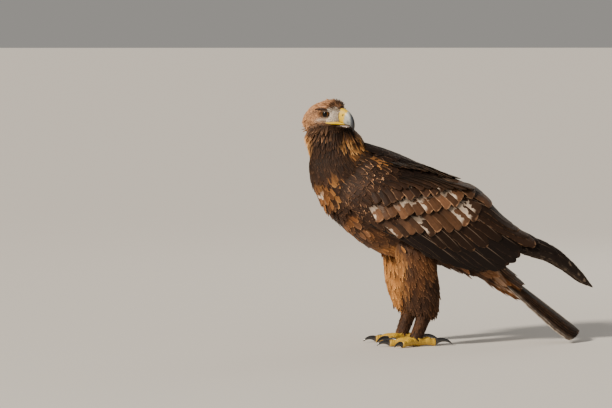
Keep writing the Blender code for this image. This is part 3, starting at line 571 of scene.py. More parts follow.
def mixColour(tree, factor, a, b, blend="MIX"):
    node = tree.nodes.new("ShaderNodeMix")
    node.data_type, node.blend_type = "RGBA", blend
    for index, value in ((0, factor), (6, a), (7, b)):
        if isinstance(value, (int, float)):
            node.inputs[index].default_value = value
        elif isinstance(value, (tuple, list, np.ndarray)):
            node.inputs[index].default_value = (*tuple(value)[:3], 1.0)
        else:
            tree.links.new(value, node.inputs[index])
    return node.outputs[2]


def smoothMask(tree, value, low, high):
    node = tree.nodes.new("ShaderNodeMapRange")
    node.interpolation_type = "SMOOTHSTEP"
    for index, item in ((0, value), (1, low), (2, high)):
        if isinstance(item, (int, float)):
            node.inputs[index].default_value = item
        else:
            tree.links.new(item, node.inputs[index])
    return node.outputs[0]


def featherFigureGroup():  # what every feather has: edge, shaft, barbs and mottling
    group = bpy.data.node_groups.new("featherFigure", "ShaderNodeTree")
    face = group.interface
    for name, value in (("Edge Start", 0.62), ("Tip Start", 0.86), ("Barb Count", 60.0), ("Barb Lean", 9.0),
                        ("Shaft Width", 0.07), ("Edge Strength", 1.0), ("Mottle", 0.35),
                        ("Root Dark", 0.45), ("Rear Edge", 0.8), ("Barb Tone", 0.07)):
        face.new_socket(name, in_out="INPUT", socket_type="NodeSocketFloat").default_value = value
    shaftTone = face.new_socket("Shaft Tone", in_out="INPUT", socket_type="NodeSocketColor")
    shaftTone.default_value = (0.1, 0.07, 0.05, 1)
    face.new_socket("Color", in_out="OUTPUT", socket_type="NodeSocketColor")
    face.new_socket("Height", in_out="OUTPUT", socket_type="NodeSocketFloat")
    face.new_socket("Roughness", in_out="OUTPUT", socket_type="NodeSocketFloat")
    read = ("across", "along", "tone", "edge", "web", "base")
    n = newNodes(group, {"in": "NodeGroupInput", **{name: "ShaderNodeAttribute" for name in read},
                         "place": "ShaderNodeTexCoord", "cloud": "ShaderNodeTexNoise",
                         "out": "NodeGroupOutput"})
    for name in read:
        n[name].attribute_name = name
    across, along, given = n["across"].outputs["Fac"], n["along"].outputs["Fac"], n["in"].outputs
    setInputs(n["cloud"], {"Scale": 95.0, "Detail": 4.0})

    def calc(*terms, clamp=False):
        return math2(group, *terms, clamp=clamp)

    def mask(value, low, high):
        return smoothMask(group, value, low, high)

    group.links.new(n["place"].outputs["Object"], n["cloud"].inputs["Vector"])
    outwards = calc("ABSOLUTE", across)
    cloud = calc("SUBTRACT", n["cloud"].outputs["Fac"], 0.5)
    wander = calc("MULTIPLY_ADD", cloud, 0.5, outwards)
    sideEdge = mask(wander, given["Edge Start"], 1.02)
    tipWander = calc("MULTIPLY_ADD", cloud, 0.16, along)
    tipEdge = mask(tipWander, given["Tip Start"], 1.0)
    front = mask(across, -0.2, 0.2)  # 0 on the front web, 1 on the rear web
    onRear = calc("MULTIPLY", front, calc("SUBTRACT", 1.0, given["Rear Edge"]))
    sideEdge = calc("MULTIPLY", sideEdge, calc("SUBTRACT", 1.0, onRear))
    edgeMask = calc("MAXIMUM", sideEdge, tipEdge)
    edgeMask = calc("MULTIPLY", edgeMask, given["Edge Strength"], clamp=True)
    coloured = mixColour(group, edgeMask, n["tone"].outputs["Color"], n["edge"].outputs["Color"])
    # whitish marks: along the front web, or across both webs where the feather leaves its cover
    webWander = calc("MULTIPLY_ADD", cloud, 2.4, across)
    webWander = calc("MULTIPLY_ADD", n["web"].outputs["Fac"], -0.9, webWander)
    web = calc("SUBTRACT", 1.0, mask(webWander, -1.68, -1.4))
    web = calc("MULTIPLY", web, mask(tipWander, 0.4, 0.5))
    web = calc("MULTIPLY", web, calc("SUBTRACT", 1.0, mask(tipWander, 0.74, 0.9)))
    web = calc("MULTIPLY", web, n["web"].outputs["Fac"], clamp=True)
    baseWander = calc("MULTIPLY_ADD", cloud, 0.6, along)
    base = calc("SUBTRACT", 1.0, mask(baseWander, 0.565, 0.6))
    base = calc("MULTIPLY", base, n["base"].outputs["Fac"])
    coloured = mixColour(group, calc("MAXIMUM", web, base, clamp=True), coloured, (0.78, 0.62, 0.48))
    # barbs run out and forwards from the shaft
    lean = calc("MULTIPLY", outwards, given["Barb Lean"])
    phase = calc("MULTIPLY", along, given["Barb Count"])
    phase = calc("SUBTRACT", phase, lean)
    barbs = calc("SINE", calc("MULTIPLY", phase, wholeTurn))
    barbTone = calc("MULTIPLY_ADD", barbs, given["Barb Tone"], 1.0)
    mottle = calc("MULTIPLY", cloud, given["Mottle"])
    shade = calc("MULTIPLY", barbTone, calc("ADD", mottle, 1.0))
    # painted shade: the feather is darkened towards its root, as if shaded by the feathers lying over it
    depth = calc("SUBTRACT", 1.0, mask(along, 0.25, 0.85))
    depth = calc("MULTIPLY", depth, given["Root Dark"])
    shade = calc("MULTIPLY", shade, calc("SUBTRACT", 1.0, depth))
    grey = group.nodes.new("ShaderNodeCombineColor")
    for i in range(3):
        group.links.new(shade, grey.inputs[i])
    coloured = mixColour(group, 1.0, coloured, grey.outputs[0], "MULTIPLY")
    shaft = calc("SUBTRACT", 1.0, mask(outwards, 0.0, given["Shaft Width"]))
    shaft = calc("MULTIPLY", shaft, mask(calc("SUBTRACT", 1.0, along), 0.0, 0.25))
    coloured = mixColour(group, calc("MULTIPLY", shaft, 0.75), coloured, given["Shaft Tone"])
    group.links.new(coloured, n["out"].inputs["Color"])
    height = calc("MULTIPLY_ADD", barbs, 0.25, shaft)
    group.links.new(height, n["out"].inputs["Height"])
    group.links.new(calc("MULTIPLY_ADD", cloud, 0.25, 0.52, clamp=True), n["out"].inputs["Roughness"])
    return group


featherFigure = featherFigureGroup()


def featherMaterial(name, shaftTone, sheen=0.06, gloss=0.2, **figure):
    material, tree, shader = newMaterial(name)
    look = tree.nodes.new("ShaderNodeGroup")
    look.node_tree = featherFigure
    setInputs(look, {label.replace("_", " "): value for label, value in figure.items()})
    setInputs(look, {"Shaft Tone": (*shaftTone, 1)})
    tree.links.new(look.outputs["Color"], shader.inputs["Base Color"])
    tree.links.new(look.outputs["Roughness"], shader.inputs["Roughness"])
    raiseBy(tree, shader, look.outputs["Height"], 0.25, 0.0006)
    setInputs(shader, {"Sheen Weight": sheen, "Sheen Roughness": 0.4, "Sheen Tint": (1.0, 0.72, 0.48, 1.0),
                       "Specular IOR Level": gloss})
    return material


def skinMaterial():
    material, tree, shader = newMaterial("downySkin")
    n = newNodes(tree, {"tone": "ShaderNodeAttribute", "place": "ShaderNodeTexCoord",
                        "down": "ShaderNodeTexNoise"})
    n["tone"].attribute_name = "tone"
    setInputs(n["down"], {"Scale": 260.0, "Detail": 5.0})
    tree.links.new(n["place"].outputs["Object"], n["down"].inputs["Vector"])
    tufts = smoothMask(tree, n["down"].outputs["Fac"], 0.3, 0.7)
    shade = mixColour(tree, tufts, (0.45, 0.45, 0.45), (0.9, 0.9, 0.9))
    coloured = mixColour(tree, 1.0, n["tone"].outputs["Color"], shade, "MULTIPLY")
    tree.links.new(coloured, shader.inputs["Base Color"])
    raiseBy(tree, shader, n["down"].outputs["Fac"], 0.5, 0.001)
    setInputs(shader, {"Roughness": 0.9, "Specular IOR Level": 0.2})
    return material


def wearGroup():  # fine grain and blotches on horn and scaly skin
    group = bpy.data.node_groups.new("grain", "ShaderNodeTree")
    face = group.interface
    for name, value in (("Scale", 200.0), ("Contrast", 0.3)):
        face.new_socket(name, in_out="INPUT", socket_type="NodeSocketFloat").default_value = value
    face.new_socket("Shade", in_out="OUTPUT", socket_type="NodeSocketColor")
    face.new_socket("Height", in_out="OUTPUT", socket_type="NodeSocketFloat")
    n = newNodes(group, {"in": "NodeGroupInput", "place": "ShaderNodeTexCoord", "noise": "ShaderNodeTexNoise",
                         "grey": "ShaderNodeCombineColor", "out": "NodeGroupOutput"})
    n["noise"].inputs["Detail"].default_value = 5.0
    group.links.new(n["place"].outputs["Object"], n["noise"].inputs["Vector"])
    group.links.new(n["in"].outputs["Scale"], n["noise"].inputs["Scale"])
    centred = math2(group, "SUBTRACT", n["noise"].outputs["Fac"], 0.5)
    shade = math2(group, "ADD", math2(group, "MULTIPLY", centred, n["in"].outputs["Contrast"]), 1.0)
    for i in range(3):
        group.links.new(shade, n["grey"].inputs[i])
    group.links.new(n["grey"].outputs[0], n["out"].inputs["Shade"])
    group.links.new(n["noise"].outputs["Fac"], n["out"].inputs["Height"])
    return group


grain = wearGroup()


def hardMaterial(name, roughness, bump, scale, contrast, coat=0.0):  # coloured by the piece's tone attribute
    material, tree, shader = newMaterial(name)
    look = tree.nodes.new("ShaderNodeGroup")
    look.node_tree = grain
    setInputs(look, {"Scale": scale, "Contrast": contrast})
    tone = tree.nodes.new("ShaderNodeAttribute")
    tone.attribute_name = "tone"
    coloured = mixColour(tree, 1.0, tone.outputs["Color"], look.outputs["Shade"], "MULTIPLY")
    tree.links.new(coloured, shader.inputs["Base Color"])
    raiseBy(tree, shader, look.outputs["Height"], bump, 0.0004)
    setInputs(shader, {"Roughness": roughness, "Coat Weight": coat, "Coat Roughness": 0.08})
    return material


featherLooks = {  # the material's name, the shaft's tone, then what differs from the group's own values
    "contour": ("contourFeather", (0.03, 0.017, 0.011), dict(
        sheen=0.02, gloss=0.1, Edge_Start=0.72, Tip_Start=0.9, Barb_Count=22.0, Barb_Lean=5.0,
        Shaft_Width=0.1, Mottle=0.5)),
    "crown": ("crownFeather", (0.06, 0.03, 0.018), dict(
        Edge_Start=0.25, Tip_Start=0.55, Barb_Count=16.0, Barb_Lean=4.0, Shaft_Width=0.3, Mottle=0.4,
        Root_Dark=0.3)),
    "hackle": ("hackleFeather", (0.06, 0.028, 0.012), dict(
        sheen=0.03, gloss=0.12, Edge_Start=0.4, Tip_Start=0.6, Barb_Count=26.0, Barb_Lean=7.0,
        Shaft_Width=0.14, Mottle=0.35, Root_Dark=0.6)),
    "lesser": ("lesserCovert", (0.03, 0.017, 0.011), dict(
        sheen=0.02, gloss=0.1, Edge_Start=0.6, Tip_Start=0.965, Barb_Count=30.0, Barb_Lean=6.0,
        Shaft_Width=0.08, Mottle=0.7, Rear_Edge=0.15)),
    "covert": ("covertFeather", (0.03, 0.017, 0.011), dict(
        Edge_Start=0.86, Tip_Start=0.955, Barb_Count=90.0, Barb_Lean=9.0, Shaft_Width=0.05, Mottle=0.9,
        Rear_Edge=0.2, Root_Dark=0.75)),
    "vane": ("flightFeather", (0.3, 0.21, 0.15), dict(
        gloss=0.13, Edge_Start=0.9, Tip_Start=0.985, Barb_Count=150.0, Barb_Lean=14.0, Shaft_Width=0.05,
        Mottle=0.5, Root_Dark=0.1, Barb_Tone=0.03)),
    "rectrix": ("tailFeather", (0.5, 0.38, 0.29), dict(
        gloss=0.12, Edge_Start=0.8, Tip_Start=0.97, Barb_Count=150.0, Barb_Lean=14.0, Shaft_Width=0.1,
        Mottle=0.7, Root_Dark=0.1, Barb_Tone=0.03)),
}
materials = {
    "skin": skinMaterial(),
    **{key: featherMaterial(name, shaft, **look) for key, (name, shaft, look) in featherLooks.items()},
    "bill": hardMaterial("billHorn", 0.38, 0.1, 380.0, 0.3, coat=0.12),
    "cere": hardMaterial("cereSkin", 0.55, 0.22, 520.0, 0.3),
    "toe": hardMaterial("scalySkin", 0.5, 0.4, 700.0, 0.45),
    "claw": hardMaterial("clawHorn", 0.22, 0.1, 300.0, 0.4, coat=0.4),
    "lid": hardMaterial("lidSkin", 0.6, 0.3, 700.0, 0.3),
}


view = {"azimuth": -8.0, "elevation": 3.0, "distance": 7.0, "metresAcross": 1.377,
        "photoPixel": 0.00225, "photoCentre": (306, 204), "pixelOfX0": 410, "pixelOfFloor": 346,
        "floorHalf": 300}


def makeCamera():
    azimuth, elevation = math.radians(view["azimuth"]), math.radians(view["elevation"])
    centreX = (view["photoCentre"][0] - view["pixelOfX0"]) * view["photoPixel"] / math.cos(azimuth)
    centreZ = (view["pixelOfFloor"] - view["photoCentre"][1]) * view["photoPixel"]
    target = Vector((centreX, 0, centreZ)) + Vector(toFrame)
    back = Vector((math.sin(azimuth) * math.cos(elevation), -math.cos(azimuth) * math.cos(elevation),
                   math.sin(elevation)))
    data = bpy.data.cameras.new("photoCamera")
    data.sensor_width = 36.0
    data.lens = data.sensor_width * view["distance"] / view["metresAcross"]
    data.clip_end = 900.0
    made = placed("photoCamera", data)
    made.location = target + back * view["distance"]
    made.rotation_mode = "QUATERNION"
    made.rotation_quaternion = (-back).to_track_quat("-Z", "Y")
    bpy.context.scene.camera = made


lights = {
    "key": dict(kind="SUN", aim=(0.74, 0.46, -0.5), power=5.0, colour=(1.0, 0.9, 0.76), size=0.12),
    "fill": dict(kind="AREA", place=(-2.4, -2.6, 1.6), power=15.0, colour=(1.0, 0.97, 0.92), size=1.2),
    "rim": dict(kind="AREA", place=(1.8, 2.4, 2.0), power=13.0, colour=(1.0, 0.95, 0.88), size=1.6),
}


def makeLights():
    for name, look in lights.items():
        data = bpy.data.lights.new(name, look["kind"])
        data.energy, data.color = look["power"], look["colour"]
        made = placed(name, data)
        if look["kind"] == "SUN":
            data.angle = look["size"]
            aim = Vector(look["aim"])
        else:
            data.size = look["size"]
            made.location = look["place"]
            aim = Vector((0, 0, 0.3)) - Vector(look["place"])
        made.rotation_mode = "QUATERNION"
        made.rotation_quaternion = aim.to_track_quat("-Z", "Y")
    world = bpy.data.worlds.new("studio")
    world.use_nodes = True
    setInputs(world.node_tree.nodes["Background"], {"Color": (0.9, 0.86, 0.8, 1), "Strength": 0.34})
    bpy.context.scene.world = world


def makeFloor():
    material, _, shader = newMaterial("paleFloor")
    setInputs(shader, {"Base Color": (0.72, 0.69, 0.65, 1), "Roughness": 0.85})
    mesh = bpy.data.meshes.new("floor")
    far = view["floorHalf"]
    mesh.from_pydata([(-far, -far, 0), (far, -far, 0), (far, far, 0), (-far, far, 0)], [], [(0, 1, 2, 3)])
    mesh.materials.append(material)
    made = placed("floor", mesh)


makeCamera()
makeLights()
makeFloor()
print("stage, light and camera are set")


stump = {
    "rows": [  # distance from the tail's root, half height, half width, how low
        (-0.03, 0.034, 0.036, 0.006),
        (0.03, 0.031, 0.036, 0.009),
        (0.065, 0.025, 0.033, 0.013),
        (0.1, 0.018, 0.027, 0.014),
        (0.135, 0.009, 0.018, 0.012),
    ],
    "coatDepth": 0.004,
}


def stumpPoint(distance, angle, grow=0.0):  # angle 0 on top
    distance, angle, grow = spread(distance, angle, grow)
    tall, wide, low = smoothRows(stump["rows"], distance).T
    return (
        np.array(tail["root"]) + np.outer(distance, tailAlong)
        + ((tall + grow) * np.cos(angle) - low)[:, None] * tailUp
        + ((wide + grow) * np.sin(angle))[:, None] * tailAcross
    )


def wingArmRings(side, inwards):
    rings = []
    stations = np.linspace(wing["arm"][0][0], wing["arm"][-1][0], 24)
    for x, (top, low, stand, thick) in zip(stations, smoothRows(wing["arm"], stations)):
        middle, tall, _ = (float(v[0]) for v in wingOutline(x))
        first, last = (math.acos(np.clip((z - middle) / tall, -1, 1)) for z in (top, low))
        heights = middle + tall * np.cos(np.linspace(first, last, 16))
        swell = np.sin(np.linspace(0.15, math.pi - 0.15, 16)) ** 0.5
        outer = onWing(side, x, heights, 0.0, stand - inwards - thick / 2 * (1 - swell))
        inner = onWing(side, x, heights[::-1], 0.0, stand - thick + thick / 2 * (1 - swell))
        rings.append(np.vstack([outer, inner]))
    return rings


def makeSkin():
    sides = turns(48)
    depth = body["coatDepth"]
    shapes = [loft([bodyPoint(u, sides, -depth) for u in np.linspace(0, 8, 60)])]
    forwards = -0.0505 + 0.1 * (0.5 - 0.5 * np.cos(np.linspace(0.12, math.pi * 0.97, 34)))
    shapes.append(loft([headPoint(f, sides, -head["coatDepth"]) for f in forwards]))
    for side in (leftSide, rightSide):
        drops = np.linspace(-0.262, -0.076, 24)
        shapes.append(loft([thighPoint(side, d, sides, -leg["coatDepth"]) for d in drops]))
        shares = np.linspace(0, 1, 12)
        shapes.append(loft([shankPoint(side, s, sides, -leg["shankCoatDepth"]) for s in shares]))
        shapes.append(loft(wingArmRings(side, 0.001)))
    shapes.append(loft([stumpPoint(d, sides, -stump["coatDepth"]) for d in np.linspace(-0.012, 0.128, 16)]))
    points, faces = joined(shapes)
    made = facingOut(newMesh("skin", points, faces, materials["skin"]))
    fuse = made.modifiers.new("fuse", "REMESH")
    fuse.mode, fuse.voxel_size = "VOXEL", 0.0032
    relax = made.modifiers.new("relax", "SMOOTH")
    relax.iterations, relax.factor = 4, 0.5
    asMesh(made)
    made.data.shade_smooth()
    corners = np.empty(len(made.data.vertices) * 3)
    made.data.vertices.foreach_get("co", corners)
    tone, _ = plumage(corners.reshape(-1, 3) - toFrame)
    layer = made.data.attributes.new("tone", "FLOAT_COLOR", "POINT")
    layer.data.foreach_set("color", np.column_stack([tone * 0.6, np.ones(len(tone))]).ravel())
    if not made.data.materials:
        made.data.materials.append(materials["skin"])
    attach(made, "root")
    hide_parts("head", "neck", "torso", "thigh_left", "thigh_right", "shank_left", "shank_right",
                "wing_left", "wing_right", "tail")
    return made


skin = makeSkin()
skinTree = BVHTree.FromPolygons([v.co for v in skin.data.vertices],
                                [p.vertices[:] for p in skin.data.polygons])


def ontoSkin(place, aim, rise, length, most=0.012):
    # roots under the skin come up to it and lie along it, those far under are marked as sunk
    place, aim, rise, sunk = place.copy(), aim.copy(), rise.copy(), np.zeros(len(place), bool)
    for i, point in enumerate(place + toFrame):
        near, normal, _, _ = skinTree.find_nearest(Vector(point))
        depth = (near - Vector(point)).dot(normal)
        if depth > 0:
            flat = Vector(aim[i]) - normal * min(Vector(aim[i]).dot(normal), 0)
            ahead, lift, _, _ = skinTree.find_nearest(near + flat.normalized() * float(length[i]) * 0.8)
            run = (ahead + lift * 0.0015 - near).normalized()
            place[i], aim[i], rise[i], sunk[i] = np.array(near) - toFrame, run, normal, depth > most
    return place, aim, rise, sunk


def featherForm(name, outline, camber, curl, rows):  # one closed little feather, 1 long and 1 wide
    t = np.sin(np.linspace(0, 1, rows) * math.pi / 2) * 0.985
    half = np.interp(t, *zip(*outline)) / 2
    points, across, along = [], [], []
    for place, wide in zip(t, half):
        fall = -curl * place**2
        for a, z in ((-1, -camber), (0, 0.02), (1, -camber), (0, -0.015 - camber * 0.3)):
            points.append((a * wide, place + abs(a) * 0.03, fall + z * (wide * 2)))
            across.append(a)
            along.append(place)
    faces = loftFaces(rows, 4)
    faces = [(0, 1, 2, 3), *faces]
    points.append((0.0, 1.0, -curl))
    across.append(0.0)
    along.append(1.0)
    last = (rows - 1) * 4
    faces += [(last + k, last + (k + 1) % 4, len(points) - 1) for k in range(4)]
    mesh = bpy.data.meshes.new(name)
    mesh.from_pydata(points, [], faces)
    for label, data in (("across", across), ("along", along)):
        mesh.attributes.new(label, "FLOAT", "POINT").data.foreach_set("value", np.array(data, float))
    mesh.shade_smooth()
    made = facingOut(placed(name, mesh))
    rim = []  # these edges stay crisp
    for one, two in (edge.vertices for edge in mesh.edges):
        onOneSide = across[one] * across[two] >= 0 and abs(across[one]) + abs(across[two]) >= 1
        rim.append(onOneSide and abs(one - two) != 1)
    mesh.attributes.new("sharp_edge", "BOOLEAN", "EDGE").data.foreach_set("value", rim)
    return made


formTables = {  # width along the feather, how far its sides and its tip bend down, rows
    "scale": (((0, 0.35), (0.3, 0.9), (0.75, 1.0), (0.93, 0.76), (1, 0.36)), 0.035, 0.05, 6),
    "broad": (((0, 0.4), (0.35, 0.92), (0.7, 1.0), (0.9, 0.66), (1, 0.14)), 0.045, 0.06, 6),
    "lance": (((0, 0.6), (0.35, 1.0), (0.7, 0.78), (0.9, 0.42), (1, 0.06)), 0.06, 0.05, 6),
    "loose": (((0, 0.5), (0.35, 0.95), (0.7, 0.85), (0.9, 0.45), (1, 0.08)), 0.05, 0.07, 6),
    "short": (((0, 0.5), (0.4, 1.0), (0.75, 0.62), (1, 0.08)), 0.06, 0.06, 4),
}
featherForms = {name: featherForm(name + "Feather", *table) for name, table in formTables.items()}


def coatTree():
    tree = bpy.data.node_groups.new("layCoat", "GeometryNodeTree")
    face = tree.interface
    face.new_socket("Roots", in_out="INPUT", socket_type="NodeSocketGeometry")
    face.new_socket("Feather", in_out="INPUT", socket_type="NodeSocketObject")
    for name, value in (("Length", 1.0), ("Width", 1.0), ("Size Spread", 0.15), ("Turn Spread", 0.12),
                        ("Patch", 0.003)):
        face.new_socket(name, in_out="INPUT", socket_type="NodeSocketFloat").default_value = value
    face.new_socket("Seed", in_out="INPUT", socket_type="NodeSocketInt").default_value = 3
    face.new_socket("Finish", in_out="INPUT", socket_type="NodeSocketMaterial")
    face.new_socket("Coat", in_out="OUTPUT", socket_type="NodeSocketGeometry")
    read = {"aim": "FLOAT_VECTOR", "rise": "FLOAT_VECTOR", "size": "FLOAT_VECTOR", "root": "FLOAT_VECTOR",
            "across": "FLOAT", "along": "FLOAT"}
    n = newNodes(tree, {
        "in": "NodeGroupInput", **{name: "GeometryNodeInputNamedAttribute" for name in read},
        "lie": "FunctionNodeAlignRotationToVector", "stand": "FunctionNodeAlignRotationToVector",
        "sizeChance": "FunctionNodeRandomValue", "turnChance": "FunctionNodeRandomValue",
        "turn": "FunctionNodeRotateRotation", "turnBy": "FunctionNodeAxisAngleToRotation",
        "feather": "GeometryNodeObjectInfo", "lay": "GeometryNodeInstanceOnPoints",
        "real": "GeometryNodeRealizeInstances", "store": "GeometryNodeStoreNamedAttribute",
        "finish": "GeometryNodeSetMaterial", "out": "NodeGroupOutput"})
    for name, kind in read.items():
        n[name].data_type = kind
        n[name].inputs["Name"].default_value = name
    link, given = tree.links.new, n["in"].outputs

    def vectorMath(operation, a, b):
        node = tree.nodes.new("ShaderNodeVectorMath")
        node.operation = operation
        for socket, value in zip(node.inputs, (a, b)):
            if isinstance(value, tuple):
                socket.default_value = value
            else:
                link(value, socket)
        return node.outputs[0]

    def combined(x, y, z):
        node = tree.nodes.new("ShaderNodeCombineXYZ")
        for socket, value in zip(node.inputs, (x, y, z)):
            if isinstance(value, (int, float)):
                socket.default_value = value
            else:
                link(value, socket)
        return node.outputs[0]

    n["lie"].axis, n["stand"].axis, n["stand"].pivot_axis = "Y", "Z", "Y"
    # each feather is turned and sized a little by chance
    n["turnChance"].data_type = "FLOAT"
    link(given["Turn Spread"], n["turnChance"].inputs[3])
    link(math2(tree, "MULTIPLY", given["Turn Spread"], -1.0), n["turnChance"].inputs[2])
    n["turnBy"].inputs["Axis"].default_value = (0, 0, 1)
    n["turn"].rotation_space = "LOCAL"
    n["sizeChance"].data_type = "FLOAT"
    link(math2(tree, "SUBTRACT", 1.0, given["Size Spread"]), n["sizeChance"].inputs[2])
    link(math2(tree, "ADD", 1.0, given["Size Spread"]), n["sizeChance"].inputs[3])
    sizeChance = n["sizeChance"].outputs[1]
    width = math2(tree, "MULTIPLY", sizeChance, given["Width"])
    length = math2(tree, "MULTIPLY", sizeChance, given["Length"])
    scale = vectorMath("MULTIPLY", n["size"].outputs["Attribute"], combined(width, length, length))
    n["feather"].inputs["As Instance"].default_value = True
    link(scale, n["lay"].inputs["Scale"])
    half = math2(tree, "MULTIPLY", given["Patch"], 0.5)
    inPatch = combined(math2(tree, "MULTIPLY", n["across"].outputs["Attribute"], half),
                       math2(tree, "MULTIPLY", n["along"].outputs["Attribute"], given["Patch"]), 0.0)
    n["store"].data_type, n["store"].domain = "FLOAT2", "CORNER"
    n["store"].inputs["Name"].default_value = "OFBake"
    link(vectorMath("ADD", n["root"].outputs["Attribute"], inPatch), n["store"].inputs["Value"])
    for source, leaving, target, entering in (
        ("aim", "Attribute", "lie", "Vector"), ("lie", 0, "stand", "Rotation"),
        ("rise", "Attribute", "stand", "Vector"), ("stand", 0, "turn", "Rotation"),
        ("in", "Seed", "turnChance", "Seed"), ("turnChance", 1, "turnBy", "Angle"),
        ("turnBy", 0, "turn", "Rotate By"), ("in", "Seed", "sizeChance", "Seed"),
        ("in", "Roots", "lay", "Points"), ("turn", 0, "lay", "Rotation"),
        ("in", "Feather", "feather", "Object"), ("feather", "Geometry", "lay", "Instance"),
        ("lay", 0, "real", 0), ("real", 0, "store", "Geometry"), ("store", 0, "finish", "Geometry"),
        ("in", "Finish", "finish", "Material"), ("finish", 0, "out", "Coat"),
    ):
        link(n[source].outputs[leaving], n[target].inputs[entering])
    return tree


layCoat = coatTree()


def layFeathers(name, roots, form, material, seed, turnSpread):
    roots = kept(roots, ~roots["sunk"])
    mesh = bpy.data.meshes.new(name)
    mesh.from_pydata((roots["place"] + toFrame).tolist(), [], [])
    for label in ("aim", "rise", "size", "root"):
        mesh.attributes.new(label, "FLOAT_VECTOR", "POINT").data.foreach_set("vector", roots[label].ravel())
    for label in ("tone", "edge"):
        colour = np.column_stack([roots[label], np.ones(len(roots[label]))])
        mesh.attributes.new(label, "FLOAT_COLOR", "POINT").data.foreach_set("color", colour.ravel())
    made = placed(name, mesh)
    lay = made.modifiers.new("coat", "NODES")
    lay.node_group = layCoat
    sockets = {item.name: item.identifier for item in layCoat.interface.items_tree if item.in_out == "INPUT"}
    for label, value in (("Feather", featherForms[form]), ("Turn Spread", turnSpread), ("Seed", seed),
                         ("Finish", materials[material])):
        lay[sockets[label]] = value
    asMesh(made)
    for label in ("aim", "rise", "size", "root"):
        if label in made.data.attributes:
            made.data.attributes.remove(made.data.attributes[label])
    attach(made, "root")
    print(name, len(roots["place"]), "feathers", len(made.data.polygons), "faces")
    return made


step = 1e-3  # taken along u or v to find directions


def rootsOn(surface, u, v, centre, flow, tilt, length, width, corner, seed, toneSpread,
            pull=None, follow=1.0):
    # surface(u, v) with u along the lie of the feathers; centre(u) gives the inside, to tell out from in
    place = surface(u, v)
    alongU = (surface(u + step, v) - surface(u - step, v)) / (2 * step)
    alongV = (surface(u, v + step) - surface(u, v - step)) / (2 * step)
    rise = unit(np.cross(alongU, alongV))
    rise *= np.where(np.sum(rise * (place - centre(u)), axis=1) < 0, -1.0, 1.0)[:, None]
    aim = unit(alongU + alongV * np.asarray(flow, float).reshape(-1, 1))
    if pull is not None:  # a direction for the tips, and how strongly each feather follows it
        push = rise @ pull[0]
        lying = pull[0] - rise * np.where(push < 0, push, 0.7 * push)[:, None]
        aim = unit(aim + lying * np.asarray(pull[1], float).reshape(-1, 1))
    # the tip comes down to the surface where that bends away, and bridges hollows
    length, width = np.broadcast_to(length, len(place)), np.broadcast_to(width, len(place))
    uu, uv, vv = (np.sum(a * b, axis=1) for a, b in ((alongU, alongU), (alongU, alongV), (alongV, alongV)))
    toU, toV = (np.sum(a * aim, axis=1) * length * 0.8 for a in (alongU, alongV))
    whole = uu * vv - uv**2 + 1e-12
    ahead = surface(u + (vv * toU - uv * toV) / whole, v + (uu * toV - uv * toU) / whole) - place
    near = np.linalg.norm(ahead, axis=1) > 0.3 * length
    fall = np.clip(-np.sum(ahead * rise, axis=1), 0, 0.25 * length)  # how far the surface bends away under it
    place = place + rise * (0.32 * fall * near)[:, None] * follow
    aim = unit(aim * (1 - follow) + unit(ahead) * follow * near[:, None] + aim * 1e-3)
    place, aim, rise, sunk = ontoSkin(place, aim, rise, length)
    rise = unit(rise - aim * np.sum(rise * aim, axis=1)[:, None])
    chance = np.random.default_rng(seed)
    lean = np.asarray(tilt, float) * (1 + 0.25 * chance.standard_normal(len(place)))
    aim, rise = (
        aim * np.cos(lean)[:, None] + rise * np.sin(lean)[:, None],
        rise * np.cos(lean)[:, None] - aim * np.sin(lean)[:, None],
    )
    tone, edge = plumage(place)
    light = np.exp(toneSpread * chance.standard_normal((len(place), 1)))
    return {
        "place": place, "aim": aim, "rise": rise,
        "size": np.column_stack([width, length, length]),
        "root": np.column_stack([0.04 + 0.92 * corner[0], 0.04 + 0.92 * corner[1], np.zeros(len(place))]),
        "tone": np.clip(tone * light, 0, 1), "edge": np.clip(edge * light, 0, 1), "sunk": sunk,
    }


def staggered(surface, uStart, uEnd, coat, seed, low=0.0, high=wholeTurn):
    # rows along u a gap apart, each filled at the pitch between low and high, set off by half in turn
    chance = np.random.default_rng(seed)
    gap, pitch, jitter = coat["gap"], coat["pitch"], 0.3
    us, vs, u, row = [], [], uStart, 0
    ring = np.linspace(low, high, 90)  # the row measured at this many places
    while u < uEnd:
        here = surface(np.full(len(ring), u), ring)
        lengths = np.concatenate([[0], np.cumsum(np.linalg.norm(np.diff(here, axis=0), axis=1))])
        count = max(3, int(lengths[-1] / pitch))
        share = (np.arange(count) + 0.5 * (row % 2) + jitter * chance.uniform(-1, 1, count)) / count
        vs.append(np.interp(share * lengths[-1] % lengths[-1], lengths, ring))
        pace = np.linalg.norm(surface(np.full(len(ring), u + step), ring) - here, axis=1).max() / step
        us.append(u + jitter * chance.uniform(-1, 1, count) * gap / pace)
        u += gap / pace
        row += 1
    return np.concatenate(us), np.concatenate(vs)


def kept(roots, mask):
    return {label: data[mask] for label, data in roots.items()}


def underWing(points, margin):  # true where the folded wing covers the body by at least the margin
    x, z = points[:, 0], points[:, 2]
    table = np.array([row[:3] for row in wing["arm"]] + [(0.16, 0.325, 0.19), (0.2, 0.3, 0.175)])
    top, low = np.interp(x, table[:, 0], table[:, 1]), np.interp(x, table[:, 0], table[:, 2])
    rearLow = np.interp(x, [-0.07, -0.02, 0.055, 0.116, 0.18], [0.262, 0.24, 0.205, 0.195, 0.182])
    low = np.minimum(low, rearLow)
    inside = (z < top - margin) & (z > low + margin) & (x > table[0, 0] + margin) & (x < 0.2)
    return inside & (np.abs(points[:, 1]) > 0.025)


headCoat = {"gap": 0.0021, "pitch": 0.0019, "length": 0.01, "width": 0.0031}


